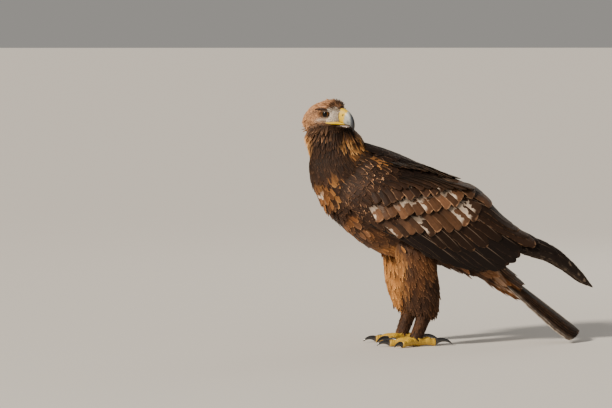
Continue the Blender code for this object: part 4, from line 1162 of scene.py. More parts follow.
def coatHead():
    u, v = staggered(headCoatAt, 0.0005, 0.095, headCoat, 11)
    forward, side, up = headOwn(headCoatAt(u, v))
    eyeAway = np.sqrt((forward - eye["place"][0]) ** 2 + (np.abs(side) - eye["place"][1] - 0.004) ** 2
                      + 1.25 * (up - eye["place"][2]) ** 2)
    size = np.interp(u, [0.0, 0.014, 0.03, 0.06, 0.08, 0.095], [0.55, 0.75, 1.0, 1.35, 1.6, 1.6])
    size *= np.interp(eyeAway, [0.011, 0.02], [0.5, 1.0])
    tilt = np.interp(u, [0.0, 0.03, 0.06, 0.09], [0.22, 0.17, 0.14, 0.1])
    ruffled = ease(0.019, 0.026, up) * ease(0.008, 0.022, forward)
    tilt = tilt + 0.42 * ruffled * np.random.default_rng(17).random(len(u))
    fore = ease(0.031, 0.04, forward) * ease(0.01, 0.014, up)  # the forehead's stand up behind the bill
    standing = 0.15 + 0.45 * np.random.default_rng(18).random(len(u))
    tilt = tilt + fore * standing * ease(0.002, 0.012, np.abs(side))
    length = headCoat["length"] * size * (1 + 0.25 * ruffled * (1 - fore) + 0.8 * fore)
    roots = rootsOn(headCoatAt, u, v, headInside, 0.0 * u, tilt, length, headCoat["width"] * size,
                    (u / 0.1, v / wholeTurn), 12, 0.2,
                    (downwards, 2.0 * ease(0.05, 0.085, u) + 0.5 * ease(0.03, 0.05, u)), 0.7)
    keep = (eyeAway > 0.01) & ~((forward > 0.042) & (up < -0.012))
    layFeathers("coatHead", kept(roots, keep), "short", "crown", seed=5, turnSpread=0.2)


napeCoat = {"gap": 0.0046, "pitch": 0.0042, "length": 0.0225, "width": 0.0066}


def coatNape():  # pointed feathers from the cheeks and the back of the head, over the top of the neck
    u, v = staggered(headCoatAt, 0.006, 0.095, napeCoat, 13)
    forward, _, up = headOwn(headCoatAt(u, v))
    size = np.interp(u, [0.006, 0.026, 0.045, 0.07, 0.095], [0.55, 0.7, 0.85, 1.05, 1.1])
    roots = rootsOn(headCoatAt, u, v, headInside, 0.0 * u, 0.07,
                    napeCoat["length"] * size, napeCoat["width"] * size, (u / 0.1, v / wholeTurn), 14, 0.26,
                    (downwards, 3.0), np.where(u < 0.05, 0.15, 0.6)[:, None])
    top = np.interp(forward, [-0.045, -0.02, 0.0, 0.012, 0.044], [0.012, 0.0, -0.01, -0.0175, -0.019])
    layFeathers("coatNape", kept(roots, up < top + 0.005 * (cloudy(roots["place"], 160.0) - 0.5)), "lance",
                "hackle", seed=15, turnSpread=0.14)


def coatCollar():  # the feathers from under the head out over the neck's upper end
    centre = bodyCoatAt(0.0, turns(24)).mean(0)

    def surface(u, v):  # u runs out from the middle, and past 1 down the neck
        u, v = spread(u, v)
        rim = bodyCoatAt(np.maximum(u - 1, 0) * 0.9, v)
        return rim + (centre - rim) * np.maximum(1 - u, 0)[:, None]

    u, v = staggered(surface, 0.3, 1.02, napeCoat, 23)
    roots = rootsOn(surface, u, v, lambda u: centre - (0, 0, 0.03), 0.0 * u, 0.1, napeCoat["length"] * 1.15,
                    napeCoat["width"], (0.3 + 0.2 * u, v / wholeTurn), 24, 0.26,
                    (downwards, 0.6), 0.8)
    layFeathers("coatCollar", kept(roots, offBill(roots["place"])), "lance", "hackle",
                seed=21, turnSpread=0.16)


neckCoat = {"gap": 0.0056, "pitch": 0.0046, "length": 0.032, "width": 0.007}


def coatNeck():
    u, v = staggered(bodyCoatAt, 0.02, 2.95, neckCoat, 21)
    flow = -0.28 * np.ones(len(u)) * fade(1.6, 2.6, u)
    size = np.interp(u, [0, 0.8, 2.0, 2.95], [0.74, 0.92, 1.05, 1.05])
    onBack = (1 + np.cos(v)) / 2 * ease(1.2, 2.2, u)  # the nape meets the back in a hollow
    inFront = (1 - np.cos(v)) / 2  # loose under the head, close on the breast
    tilt = 0.15 - 0.1 * onBack + inFront * (0.2 * fade(0.3, 1.1, u) - 0.11 * ease(1.2, 1.9, u))
    roots = rootsOn(bodyCoatAt, u, v, bodyInside, flow, tilt, neckCoat["length"] * size,
                    neckCoat["width"] * size, (u / 8, v / wholeTurn), 22, 0.26,
                    (np.array((0.84, 0.0, -0.54)), 0.8 * onBack))
    keep = ~underWing(roots["place"], 0.042) & offBill(roots["place"])
    layFeathers("coatNeck", kept(roots, keep), "lance", "hackle", seed=6, turnSpread=0.16)


bodyCoat = {"gap": 0.008, "pitch": 0.0074, "length": 0.03, "width": 0.0132}


def coatBody():
    u, v = staggered(bodyCoatAt, 2.55, 7.95, bodyCoat, 31)
    size = np.interp(u, [2.5, 4.0, 6.0, 8.0], [0.95, 1.0, 1.15, 1.2])
    below = (1 - np.cos(v)) / 2  # 1 on the belly
    size = size * (1 + 0.35 * below * ease(5.0, 7.0, u))
    tilt = 0.1 * below + 0.02 + 0.12 * below * ease(5.0, 7.0, u)
    x, _, z = bodyCoatAt(u, v).T
    ruffled = np.exp(-(((z - 0.325) / 0.022) ** 2)) * fade(-0.185, -0.15, x)  # a band across the breast
    tilt = tilt + 0.22 * ruffled
    roots = rootsOn(bodyCoatAt, u, v, bodyInside, 0.0 * u, tilt, bodyCoat["length"] * size,
                    bodyCoat["width"] * size * (1 - 0.35 * below * ease(4.5, 6.0, u)),
                    (u / 8, v / wholeTurn), 32, 0.26)
    keep = ~underWing(roots["place"], 0.038)
    x, y, z = roots["place"].T
    for side in (leftSide, rightSide):  # the thighs' own feathers cover their tops
        onThigh = (np.abs(x - legShift(side)) < 0.03) & (np.abs(y - side * leg["sideways"]) < 0.022)
        keep &= ~(onThigh & (z < 0.26))
    layFeathers("coatBody", kept(roots, keep), "broad", "contour", seed=7, turnSpread=0.2)


legCoat = {"gap": 0.0066, "pitch": 0.0048, "length": 0.033, "width": 0.0072}
shankCoat = {"gap": 0.004, "pitch": 0.0036, "length": 0.015, "width": 0.0056}


def coatLegs():
    parts = []
    for side in (leftSide, rightSide):
        def thigh(u, v, side=side):
            return thighPoint(side, u, v, -leg["coatDepth"])

        def thighInside(u, side=side):
            return np.column_stack([np.full(len(u), 0.012 + legShift(side)),
                                    np.full(len(u), side * leg["sideways"]), -u])

        half = 0.5 if side > 0 else 0.0  # each leg has one half of the bake's square
        u, v = staggered(thigh, -0.255, -0.08, legCoat, 41 + side)
        size = np.interp(-u, [0.08, 0.12, 0.2, 0.26], [0.8, 1.0, 1.05, 1.0])
        lean = -0.25 * np.sin(v)  # towards the rear
        parts.append(rootsOn(thigh, u, v, thighInside, lean / 0.045, 0.11,
                             legCoat["length"] * size, legCoat["width"] * size,
                             (0.5 * (u + 0.26) / 0.19 + half, v / wholeTurn), 43 + side, 0.13,
                             (downwards, 3.0 * ease(-0.13, -0.1, u)), 1 - ease(-0.14, -0.11, u)[:, None]))

        def shank(u, v, side=side):
            return shankPoint(side, u, v, -leg["shankCoatDepth"])

        def shankInside(u, side=side):
            return shankPoint(side, u, 0.0, -0.018)

        u, v = staggered(shank, 0.1, 1.06, shankCoat, 45 + side)
        parts.append(rootsOn(shank, u, v, shankInside, 0.0 * u, 0.17, shankCoat["length"], shankCoat["width"],
                             (0.5 * u + half, v / wholeTurn), 47 + side, 0.14))
    for first, name in ((0, "coatLegLeft"), (2, "coatLegRight")):
        pair = parts[first:first + 2]
        roots = {label: np.concatenate([part[label] for part in pair]) for label in pair[0]}
        layFeathers(name, roots, "loose", "contour", seed=8 + first, turnSpread=0.22)


ventCoat = {"gap": 0.0085, "pitch": 0.0068, "length": 0.04, "width": 0.012}


def coatVent():  # the fluff of the vent and the feathers under the tail
    def surface(u, v):
        return stumpPoint(u, v, -stump["coatDepth"])

    u, v = staggered(surface, -0.02, 0.128, ventCoat, 51)
    below = (1 - np.cos(v)) / 2
    roots = rootsOn(surface, u, v, lambda u: stumpPoint(u, 0.0, -0.02), 0.0 * u, 0.06 + 0.1 * below,
                    ventCoat["length"] * (0.85 + 0.35 * below), ventCoat["width"],
                    (u / 0.16, v / wholeTurn), 52, 0.22)
    layFeathers("coatVent", roots, "loose", "contour", seed=10, turnSpread=0.2)


coatHead()
coatNape()
coatCollar()
coatNeck()
coatBody()
coatLegs()
coatVent()


vaneRows, vaneColumns, vaneThickness = 15, 9, 0.0007


def vaneTopology():  # an upper and an under sheet that share their rim
    top = np.arange(vaneRows * vaneColumns).reshape(vaneRows, vaneColumns)
    under, inner = top.copy(), top[1:-1, 1:-1].ravel()
    under[1:-1, 1:-1] = (top.size + np.arange(inner.size)).reshape(vaneRows - 2, vaneColumns - 2)
    faces = []
    for r in range(vaneRows - 1):
        for c in range(vaneColumns - 1):
            faces.append((top[r, c], top[r, c + 1], top[r + 1, c + 1], top[r + 1, c]))
            faces.append((under[r, c], under[r + 1, c], under[r + 1, c + 1], under[r, c + 1]))
    return np.array(faces), inner


vaneFaces, vaneInner = vaneTopology()
vaneT = np.sin(np.linspace(0, 1, vaneRows) * math.pi / 2) ** 1.1
vaneA = np.array([-1.0, -0.82, -0.5, -0.12, 0.0, 0.12, 0.5, 0.82, 1.0])
vaneGrid = np.meshgrid(vaneT, vaneA, indexing="ij")


class VaneStore:
    def __init__(self):
        self.start, self.faces = 0, []
        labels = ("points", "patches", "tone", "edge", "across", "along", "web", "base")
        self.data = {label: [] for label in labels}

    def add(self, mapping, width, lift, tone, edge, corner, marks=(0.0, 0.0)):
        # mapping(t, a * width, height) gives points; width and lift are arrays of rows x columns
        t, a = vaneGrid
        thick = vaneThickness * (1 - np.abs(a) ** 2) * (1 - t**6) + 0.00004
        ridge = 0.0006 * np.exp(-((a / 0.1) ** 2)) * (1 - t) ** 0.5
        top = mapping(t, a * width, lift + thick / 2 + ridge)
        under = mapping(t, a * width, lift - thick / 2)
        count = len(top) + len(vaneInner)
        patches = np.column_stack([corner[0] + 0.0015 * a.ravel(), corner[1] + 0.003 * t.ravel()])
        for label, upper, lower in (("points", top, under), ("patches", patches, patches),
                                    ("across", a.ravel(), a.ravel()), ("along", t.ravel(), t.ravel())):
            self.data[label] += [upper, lower[vaneInner]]
        for label, value in (("tone", tone), ("edge", edge)):
            self.data[label].append(np.tile(value, (count, 1)))
        for label, value in zip(("web", "base"), marks):
            self.data[label].append(np.full(count, value))
        self.faces.append(vaneFaces + self.start)
        self.start += count

    def build(self, name, material, slot):
        data = {label: np.concatenate(parts) for label, parts in self.data.items()}
        made = newMesh(name, data["points"], np.vstack(self.faces).tolist(), materials[material],
                       {label: data[label] for label in ("tone", "edge")},
                       {label: data[label] for label in ("across", "along", "web", "base")},
                       np.clip(data["patches"], 0, 1))
        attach(made, "root")
        print(name, len(self.faces), "feathers", len(made.data.polygons), "faces")
        return made


# half width along a feather, as shares
roundTip = (
    (0, 0.35), (0.12, 0.7), (0.4, 1.0), (0.8, 1.0), (0.9, 0.86), (0.96, 0.62), (0.985, 0.4), (1, 0.12))
bluntTip = (
    (0, 0.35), (0.12, 0.7), (0.4, 1.0), (0.88, 1.0), (0.95, 0.9), (0.985, 0.66), (1, 0.3))
longTip = (
    (0, 0.35), (0.12, 0.75), (0.4, 1.0), (0.7, 0.92), (0.88, 0.72), (0.95, 0.5), (0.985, 0.28), (1, 0.05))

tierUsual = dict(sink=-0.003, step=0.0, shape=bluntTip, shingle=0.0, edge="walnutEdge")
wingTiers = {
    # roots and tips in side view, lowest feather first; sink, lift: how far off the wing's outline roots
    # and tips lie; step: more of it with each feather; shingle: how much higher one side of it lies
    "primary": dict(
        count=10, roots=((0.055, 0.248), (0.055, 0.262), (0.055, 0.274)),
        tips=((0.371, 0.153), (0.492, 0.078), (0.295, 0.216)),
        half=(0.0135, 0.015), sink=-0.0125, lift=-0.0125, step=0.00095, bow=(0.037, 0.028), shape=longTip,
        tone="sable", edge="sableEdge", light=0.9),
    "secondary": dict(
        count=13, roots=((-0.085, 0.29), (-0.015, 0.3), (0.058, 0.324)),
        tips=((0.052, 0.204), (0.23, 0.127), (0.252, 0.232)),
        half=(0.017, 0.02), sink=-0.004, lift=-0.001, bow=(0.004, 0.01), shape=roundTip, shingle=0.0012,
        tone="sable", edge="sableEdge", light=1.15),
    "innerSecondary": dict(
        count=6, roots=((-0.02, 0.296), (0.02, 0.306), (0.068, 0.332)),
        tips=((0.066, 0.226), (0.15, 0.2), (0.232, 0.262)),
        half=(0.0165, 0.018), sink=-0.0045, lift=0.0004, step=0.0003, bow=(0.006, 0.01), shape=roundTip,
        shingle=0.001, tone="umber", light=0.4),
    "tertial": dict(
        count=5, roots=((0.05, 0.326), (0.06, 0.34), (0.072, 0.36)),
        tips=((0.286, 0.214), (0.256, 0.246), (0.186, 0.298)),
        half=(0.016, 0.0175), sink=-0.005, lift=0.0006, bow=(0.012, 0.01), shape=roundTip, shingle=0.0014,
        tone="umber", light=0.45),
    "primaryCovert": dict(
        count=6, roots=((-0.135, 0.306), (-0.11, 0.292), (-0.08, 0.282)),
        tips=((-0.04, 0.252), (0.01, 0.226), (0.062, 0.208)),
        half=(0.009, 0.01), lift=0.001, step=0.0005, bow=(-0.002, -0.002), shape=longTip, tone="sable",
        edge="umberEdge", light=1.2),
    "greaterCovert": dict(
        count=12, roots=((-0.098, 0.3), (-0.005, 0.33), (0.1, 0.346)),
        tips=((-0.04, 0.256), (0.06, 0.25), (0.178, 0.3)),
        half=(0.0115, 0.014), lift=0.0044, bow=(0.004, 0.004), shingle=0.0016, tone="walnut", light=0.9),
    "medianCovert": dict(
        count=12, roots=((-0.112, 0.338), (-0.03, 0.362), (0.072, 0.368)),
        tips=((-0.084, 0.29), (0.016, 0.294), (0.136, 0.324)),
        half=(0.0112, 0.0135), lift=0.0068, bow=(0.003, 0.003), shingle=0.0016, tone="walnut", light=1.3),
    "lesserRow": dict(
        count=11, roots=((-0.112, 0.37), (-0.045, 0.386), (0.052, 0.38)),
        tips=((-0.086, 0.322), (0.0, 0.332), (0.112, 0.344)),
        half=(0.0105, 0.0125), lift=0.0088, bow=(0.003, 0.003), shingle=0.0014, tone="umber", light=1.0),
    "scapular": dict(
        count=9, roots=((-0.098, 0.388), (-0.04, 0.39), (0.02, 0.38)),
        tips=((-0.034, 0.356), (0.056, 0.354), (0.138, 0.334)),
        half=(0.0135, 0.015), lift=0.0108, bow=(0.004, 0.004), shingle=0.0013, tone="umber",
        edge="umberEdge", light=0.7),
    "upperScapular": dict(
        count=8, roots=((-0.092, 0.42), (-0.03, 0.412), (0.016, 0.398)),
        tips=((-0.024, 0.396), (0.046, 0.378), (0.112, 0.356)),
        half=(0.014, 0.015), lift=0.0122, bow=(0.003, 0.003), shape=roundTip, shingle=0.0012, tone="sable",
        edge="umberEdge", light=1.0),
}
wingTiers = {label: tierUsual | tier for label, tier in wingTiers.items()}
paleMarks = {  # whitish feathers: place of the tip, strength along the front web and at the base
    "lesserRow": ((0.016, 0.0, 0.8), (0.062, 1.0, 0.9), (0.1, 1.0, 1.0)),
    "medianCovert": ((-0.078, 1.2, 0.9), (-0.016, 0.0, 1.0), (0.004, 0.0, 0.9), (0.036, 1.3, 0.4),
                     (0.06, 0.0, 1.0), (0.104, 1.2, 0.9), (0.126, 1.7, 1.0)),
    "greaterCovert": ((-0.03, 1.1, 0.0), (0.034, 1.2, 0.6), (0.118, 1.3, 0.6), (0.136, 1.9, 1.0),
                      (0.156, 1.5, 1.0)),
}


def marksOf(label, x):
    web = base = 0.0
    for markX, webStrength, baseStrength in paleMarks.get(label, ()):
        near = math.exp(-(((x - markX) / 0.009) ** 2))
        web, base = max(web, webStrength * near), max(base, baseStrength * near)
    return web, base


def bigFeather(store, side, label, index, chance):
    t, a = vaneGrid
    tier = wingTiers[label]
    place, pace = index / (tier["count"] - 1), 1 / (tier["count"] - 1)
    covert = tier["shape"] is bluntTip
    place += (0.14 if covert else 0.03) * pace * chance.uniform(-1, 1)
    stretch = 1 + (0.09 if covert else 0.015) * chance.uniform(-1, 1)

    def middleLine(share, t):
        root, tip = (bentLine(tier[key], share) for key in ("roots", "tips"))
        tip = root + (tip - root) * stretch
        along = unit(tip - root)
        upward = np.array([-along[1], along[0]])
        bow = tier["bow"][0] + (tier["bow"][1] - tier["bow"][0]) * share
        return root + np.outer(t, tip - root) + np.outer(4 * bow * t * (1 - t), upward), upward

    line, upward = middleLine(place, vaneT)
    ahead, behind = (middleLine(place + way * pace, vaneT)[0] for way in (0.5, -0.5))
    pitch = np.maximum(np.abs((ahead - behind) @ upward), 0.004)
    tilt = tier["shingle"] / pitch if tier["shingle"] else np.full(vaneRows, 0.012)
    half = tier["half"][0] + (tier["half"][1] - tier["half"][0]) * place
    half *= 1 + 0.04 * chance.standard_normal()
    width = np.outer(np.interp(vaneT, *zip(*tier["shape"])) * half, np.ones(vaneColumns))
    width *= 1 + 0.05 * chance.standard_normal((vaneRows, 1)) * (np.abs(a) > 0.7) * (t > 0.3)
    reach = a * width
    first, last = np.asarray(tier["roots"][0], float), np.asarray(tier["roots"][2], float)
    run = unit(last - first)
    offRoots = np.array([run[1], -run[0]])
    x0, z0 = line[:, 0][:, None], line[:, 1][:, None]
    below = ((x0 + upward[0] * reach - first[0]) * offRoots[0]
             + (z0 + upward[1] * reach - first[1]) * offRoots[1])
    rise = np.clip(np.abs(below) / 0.05, 0, 1)
    lift = tier["sink"] + (tier["lift"] - tier["sink"]) * rise + tier["step"] * index
    lift = lift - tilt[:, None] * reach + 0.05 * half * (1 - a**2) * rise + 0.0004 * chance.standard_normal()
    sweep = 0.35 * np.abs(a) * width  # barbs run forwards, so the edges lie further on
    along = unit(line[-1] - line[0])

    def mapping(t, reach, height):
        x = x0 + upward[0] * reach + along[0] * sweep * (1 - t)
        z = np.broadcast_to(z0, reach.shape)
        return onWing(side, x, z, upward[1] * reach + along[1] * sweep * (1 - t), height)

    light = tier["light"] * math.exp((0.32 if covert else 0.15) * chance.standard_normal())
    tone = tones[tier["tone"]] * light
    edge = tones[tier["edge"]] * light * (chance.uniform(0.25, 1.3) if covert else 1.0)
    if label == "primary":  # the lowest show their greyer undersides
        tone = mixed(tone[None], (0.075, 0.05, 0.036), 0.8 * (1 - place) ** 2)[0]
        edge = np.array((0.11, 0.08, 0.058)) * light
    if tier["tone"] == "walnut":  # coverts differ from each other, worn pale and fresh dark
        tone = tone * (1 - 0.5 * chance.random()) + tones["tawny"] * 0.35 * chance.random() ** 2
    corner = (0.05 + 0.9 * (line[0][0] + 0.18) / 0.32, 0.05 + 0.9 * (line[0][1] - 0.22) / 0.24)
    store.add(mapping, width, lift, np.clip(tone, 0, 1), np.clip(edge, 0, 1), corner,
              marksOf(label, line[-1][0]))


def makeWing(side, name):
    flight, coverts = VaneStore(), VaneStore()
    chance = np.random.default_rng(60)
    for label in wingTiers:
        store = flight if label in ("primary", "secondary", "innerSecondary", "tertial") else coverts
        for index in range(wingTiers[label]["count"]):
            bigFeather(store, side, label, index, chance)
    flight.build("flight" + name, "vane", "wing_brown")
    coverts.build("coverts" + name, "covert", "wing_brown")


lesserCoat = {"start": -0.17, "gap": 0.0074, "pitch": 0.0066, "length": 0.031, "width": 0.0118}


def coatWing(side, name):  # the small scaly feathers of the wing's front and arm
    at, top, low, *_ = np.array(wing["arm"]).T

    def surface(u, v):  # u runs back and down along the lie, v up round the arm from its lower edge
        x = lesserCoat["start"] + u
        return onWing(side, x, np.interp(x, at, low) + 0.002, v, 0.0)

    u, v = staggered(surface, 0.0, 0.245, lesserCoat, 71 + side, 0.0, 0.2)
    place = surface(u, v)
    x, z = place[:, 0], place[:, 2]
    size = np.interp(x, [-0.17, -0.12, -0.02, 0.08], [0.68, 0.9, 1.1, 1.2])

    def inside(u):
        return np.column_stack([lesserCoat["start"] + u, np.zeros(len(u)), np.full(len(u), 0.33)])

    roots = rootsOn(surface, u, v, inside,
                    np.full(len(u), -0.38), 0.085, lesserCoat["length"] * size, lesserCoat["width"] * size,
                    (u / 0.25, v / 0.2), 73 + side, 0.3, None, 0.4)
    # scaly brown with tan edges in front, near black towards the back
    rearward = ease(-0.1, -0.02, x + 0.6 * (z - 0.38))[:, None]
    light = lightChance(75, 0.2, len(x))
    bright = 0.5 + 1.7 * ease(0.4, 0.75, cloudy(place, 34.0))[:, None]
    bright = bright * (0.4 + 0.9 * np.random.default_rng(77).random((len(x), 1)))
    roots["tone"] = (tones["umber"] * 0.7 * (1 - rearward) + tones["sable"] * 1.4 * rearward) * light
    scaly = tones["walnutEdge"] * 1.35 * bright
    roots["edge"] = (scaly * (1 - rearward) + tones["umberEdge"] * 0.7 * rearward) * light
    gold = patch(place, -0.093, 0.421, 0.01, 0.006)[:, None]
    roots["tone"] = roots["tone"] * (1 - gold) + tones["gold"] * gold
    roots["edge"] = roots["edge"] * (1 - gold) + tones["goldEdge"] * gold
    keep = (x < -0.02) | (z > np.interp(x, [-0.02, 0.1], [0.335, 0.352]))
    keep &= z < np.interp(x, at, top) + 0.004
    layFeathers("coat" + name, kept(roots, keep), "loose", "lesser", seed=9, turnSpread=0.26)


for side, name in ((leftSide, "WingLeft"), (rightSide, "WingRight")):
    makeWing(side, name)
    coatWing(side, name)


mantle = {
    "rows": [(-0.11, 0.464, 0.03), (-0.07, 0.451, 0.046), (-0.023, 0.4335, 0.046), (0.045, 0.3995, 0.04),
             (0.102, 0.3765, 0.032), (0.168, 0.3395, 0.02)],  # x, height of the ridge, half width
    "under": 0.0045, "fall": 0.012, "gap": 0.0085, "pitch": 0.0085, "length": 0.038, "width": 0.017,
}


def coatMantle():  # the back's feathers, closing the furrow between the folded wings
    def surface(u, v):
        height, half = smoothRows(mantle["rows"], np.ravel(u)).T
        v = np.ravel(v)
        return np.column_stack([np.ravel(u), half * v, height - mantle["under"] - mantle["fall"] * v**2])

    u, v = staggered(surface, -0.108, 0.14, mantle, 95, -1.0, 1.0)
    roots = rootsOn(surface, u, v, lambda u: surface(u, 0.0 * u) - (0, 0, 0.05), 0.0 * u, 0.05,
                    mantle["length"], mantle["width"], (0.5 + 0.4 * v, (u + 0.1) / 0.3), 96, 0.2, None, 0.3)
    light = lightChance(97, 0.25, len(u))
    roots["tone"], roots["edge"] = tones["sable"] * 1.5 * light, tones["umberEdge"] * 0.6 * light
    layFeathers("coatMantle", roots, "scale", "lesser", seed=20, turnSpread=0.12)


coatMantle()


tailFeathers = {"count": 12, "start": 0.055, "rootHalf": 0.017, "tipHalf": 0.04, "half": 0.0205,
                "layer": 0.0007}


def tailFeather(store, start, end, rootSide, tipSide, half, height, tone, edge, corner, chance,
                shape=roundTip, closing=0.0):  # closing brings the tip up to the vanes by that share
    t, a = vaneGrid
    width = np.outer(np.interp(vaneT, *zip(*shape)) * half, np.ones(vaneColumns))
    width *= 1 + 0.04 * chance.standard_normal((vaneRows, 1)) * (np.abs(a) > 0.7) * (t > 0.4)
    middle = rootSide + (tipSide - rootSide) * t
    sweep = 0.3 * np.abs(a) * width * (1 - t)

    def mapping(t, reach, height):
        return onTail(start + (end - start) * t + sweep, middle + reach, height)

    lift = height * (1 - closing * t**1.5) + 0.03 * half * (1 - a**2)
    store.add(mapping, width, lift, tone, edge, corner)


def makeTail():
    store = VaneStore()
    chance = np.random.default_rng(80)
    look = tailFeathers
    centre = (look["count"] - 1) / 2
    for i in range(look["count"]):
        place = (i - centre) / centre
        layer = 2 * abs(i - centre) - 1 + (i < centre)
        light = math.exp(0.12 * chance.standard_normal())
        worn = ease(0.7, 0.95, abs(place))  # the outermost feathers are greyer
        tailFeather(store, look["start"], tail["length"] - 0.01 * place**2, look["rootHalf"] * place,
                    look["tipHalf"] * place, look["half"], -0.0005 - look["layer"] * layer,
                    mixed(tones["sable"][None] * 0.8, (0.13, 0.1, 0.08), worn)[0] * light,
                    mixed(tones["umberEdge"][None] * 0.4, (0.42, 0.36, 0.3), worn)[0] * light,
                    (0.1 + 0.8 * i / 11, 0.1), chance)
    for reach, lift, way, tone, edge, count in (
        (0.122, 0.0075, -1, tones["umber"], tones["walnutEdge"], 7),
        (0.098, 0.011, -1, tones["umber"], tones["walnutEdge"], 6),
        (0.178, -0.015, 1, tones["rufous"], tones["cream"] * 0.8, 9),
        (0.205, -0.0125, 1, tones["rufous"] * 0.8, tones["cream"] * 0.7, 6),
    ):
        for i in range(count):
            place = 2 * i / (count - 1) - 1
            height = lift - 0.0016 * abs(place + 0.1) * (1 if way < 0 else 1) + 0.0002 * i
            light = math.exp(0.25 * chance.standard_normal())
            end = reach - 0.016 * abs(place) + 0.004 * chance.standard_normal()
            tailFeather(store, 0.03, end, 0.02 * place, 0.026 * place, 0.0125, height,
                        np.clip(tone * light, 0, 1), np.clip(edge * light, 0, 1),
                        (0.1 + 0.8 * i / 9, 0.5 + 0.2 * way), chance, longTip, 0.0 if way < 0 else 0.55)
    store.build("vanesTail", "rectrix", "tail_dark")


makeTail()


bill = {
    "upper": [  # ridge forward and up, cutting edge forward and up, half width, in millimetres
        (40.0, 19.0, 40.0, -13.5, 10.8),
        (48.0, 19.0, 47.0, -15.0, 10.4),
        (56.0, 17.5, 55.0, -16.4, 9.6),
        (63.5, 14.6, 61.5, -17.5, 8.6),
        (71.5, 9.3, 67.5, -18.2, 7.3),
        (78.5, 1.8, 72.5, -18.6, 5.9),
        (83.3, -7.5, 76.0, -20.0, 4.5),
        (85.5, -17.0, 78.8, -23.4, 3.1),
        (85.2, -25.5, 80.6, -28.0, 1.8),
        (83.2, -32.6, 82.2, -33.4, 0.5),
    ],
    "lower": [
        (36.0, -15.0, 38.0, -25.0, 9.6),
        (47.0, -16.2, 48.0, -25.6, 9.2),
        (58.0, -18.0, 58.0, -25.6, 7.8),
        (67.0, -19.2, 66.5, -25.0, 6.0),
        (73.0, -20.2, 72.5, -23.6, 3.6),
        (75.6, -21.2, 75.4, -22.2, 1.4),
    ],
    "cereEndsAt": 3.0,
    "nostril": (0.0585, 0.003, 0.003, 0.0016),  # forward, up, long and short radius
    "nostrilLean": math.radians(58),
    "yellow": (0.66, 0.42, 0.006), "pale": (0.4, 0.41, 0.38), "slate": (0.04, 0.048, 0.06),
    "black": (0.01, 0.01, 0.012), "lowerPale": (0.22, 0.16, 0.13),
}


def billOwn(table, place, turn, grow=0.0):  # place counts the table's rows, turn 0 is the ridge
    rows = [(i, *row) for i, row in enumerate(table)]
    ridgeF, ridgeU, edgeF, edgeU, wide = (smoothRows(rows, place) / 1000).T
    across = np.sign(np.sin(turn)) * np.abs(np.sin(turn)) ** 0.85
    return np.column_stack([(ridgeF + edgeF) / 2 + (ridgeF - edgeF) / 2 * np.cos(turn),
                            (wide + grow) * across,
                            (ridgeU + edgeU) / 2 + (ridgeU - edgeU) / 2 * np.cos(turn)])


def makeBill():
    # the cere and the upper horn are one surface in two pieces, so they meet without a step
    sides, lowerSides, lowerSteps = 56, 40, 30
    for name, first, last, steps, node, slotName, material in (
        ("cerePiece", 0, bill["cereEndsAt"], 40, "cere", "cere_yellow", "cere"),
        ("upperHorn", bill["cereEndsAt"], 9, 60, "beak_upper", "horn", "bill"),
    ):
        at, turn = np.repeat(np.linspace(first, last, steps), sides), np.tile(turns(sides), steps)
        own = billOwn(bill["upper"], at, turn)
        down = (1 - np.cos(turn)) / 2
        forward, up, long, short = bill["nostril"]
        lean = bill["nostrilLean"]
        forward, up = own[:, 0] - forward, own[:, 2] - up
        a, b = forward * math.cos(lean) + up * math.sin(lean), up * math.cos(lean) - forward * math.sin(lean)
        pit = np.exp(-((a / long) ** 2 + (b / short) ** 2) ** 1.5) * (np.abs(own[:, 1]) > 0.004)
        own[:, 1] *= 1 - 0.14 * pit
        paleHorn = ease(-0.0016, 0.0016, own[:, 0] - 0.064 - 0.34 * own[:, 2]
                        + 0.004 * (cloudy(own, 210.0) - 0.5)) * ease(-0.019, -0.016, own[:, 2])
        if node == "cere":
            tone = mixed(np.tile(bill["yellow"], (len(own), 1)), bill["pale"], paleHorn)
            # painted shade: the nostril's shallow pit is darkened to stand for its open hole
            tone = mixed(tone, np.array((0.03, 0.02, 0.012)), ease(0.25, 0.7, pit))
        else:
            tone = np.tile(bill["pale"], (len(own), 1))
            rough = 0.5 * (cloudy(own, 190.0) - 0.5)
            spot = np.exp(-(((own[:, 0] - 0.0715) / 0.004) ** 2) - ((own[:, 2] + 0.0125) / 0.004) ** 2)
            tone = mixed(tone, bill["slate"], ease(4.9, 6.6, at + 1.6 * (1 - down) ** 2 + rough))
            tone = mixed(tone, bill["slate"], 0.7 * spot)
            tone = mixed(tone, bill["black"], ease(6.2, 7.6, at + 1.2 * (1 - down) ** 2))
            tone = mixed(tone, bill["yellow"], (1 - paleHorn) * fade(3.7, 4.1, at))
        points, faces = loft([onHead(*ring.T) for ring in np.split(own, steps)])
        made = facingOut(newMesh(name, points, faces, materials[material], {"tone": tone}))
        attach(made, "root")
        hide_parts(node)
    at = np.repeat(np.linspace(0, len(bill["lower"]) - 1, lowerSteps), lowerSides)
    own = billOwn(bill["lower"], at, np.tile(turns(lowerSides), lowerSteps))
    tone = mixed(np.tile(bill["lowerPale"], (len(own), 1)), bill["slate"], ease(3.0, 4.8, at))
    tone = mixed(tone, np.array(bill["yellow"]), fade(0.6, 1.4, at))
    points, faces = loft([onHead(*ring.T) for ring in np.split(own, lowerSteps)])
    made = facingOut(newMesh("lowerHorn", points, faces, materials["bill"], {"tone": tone}))
    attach(made, "root")
    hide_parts("beak_lower")


gape = {
    "forward": (0.0235, 0.0285, 0.0345, 0.042, 0.05, 0.064),
    "out": (0.0266, 0.0246, 0.0211, 0.0168, 0.0114, 0.0072),
    "up": (-0.014, -0.0146, -0.015, -0.0148, -0.015, -0.0166),
    "radius": (0.0003, 0.0017, 0.0024, 0.0029, 0.0028, 0.0005),
}


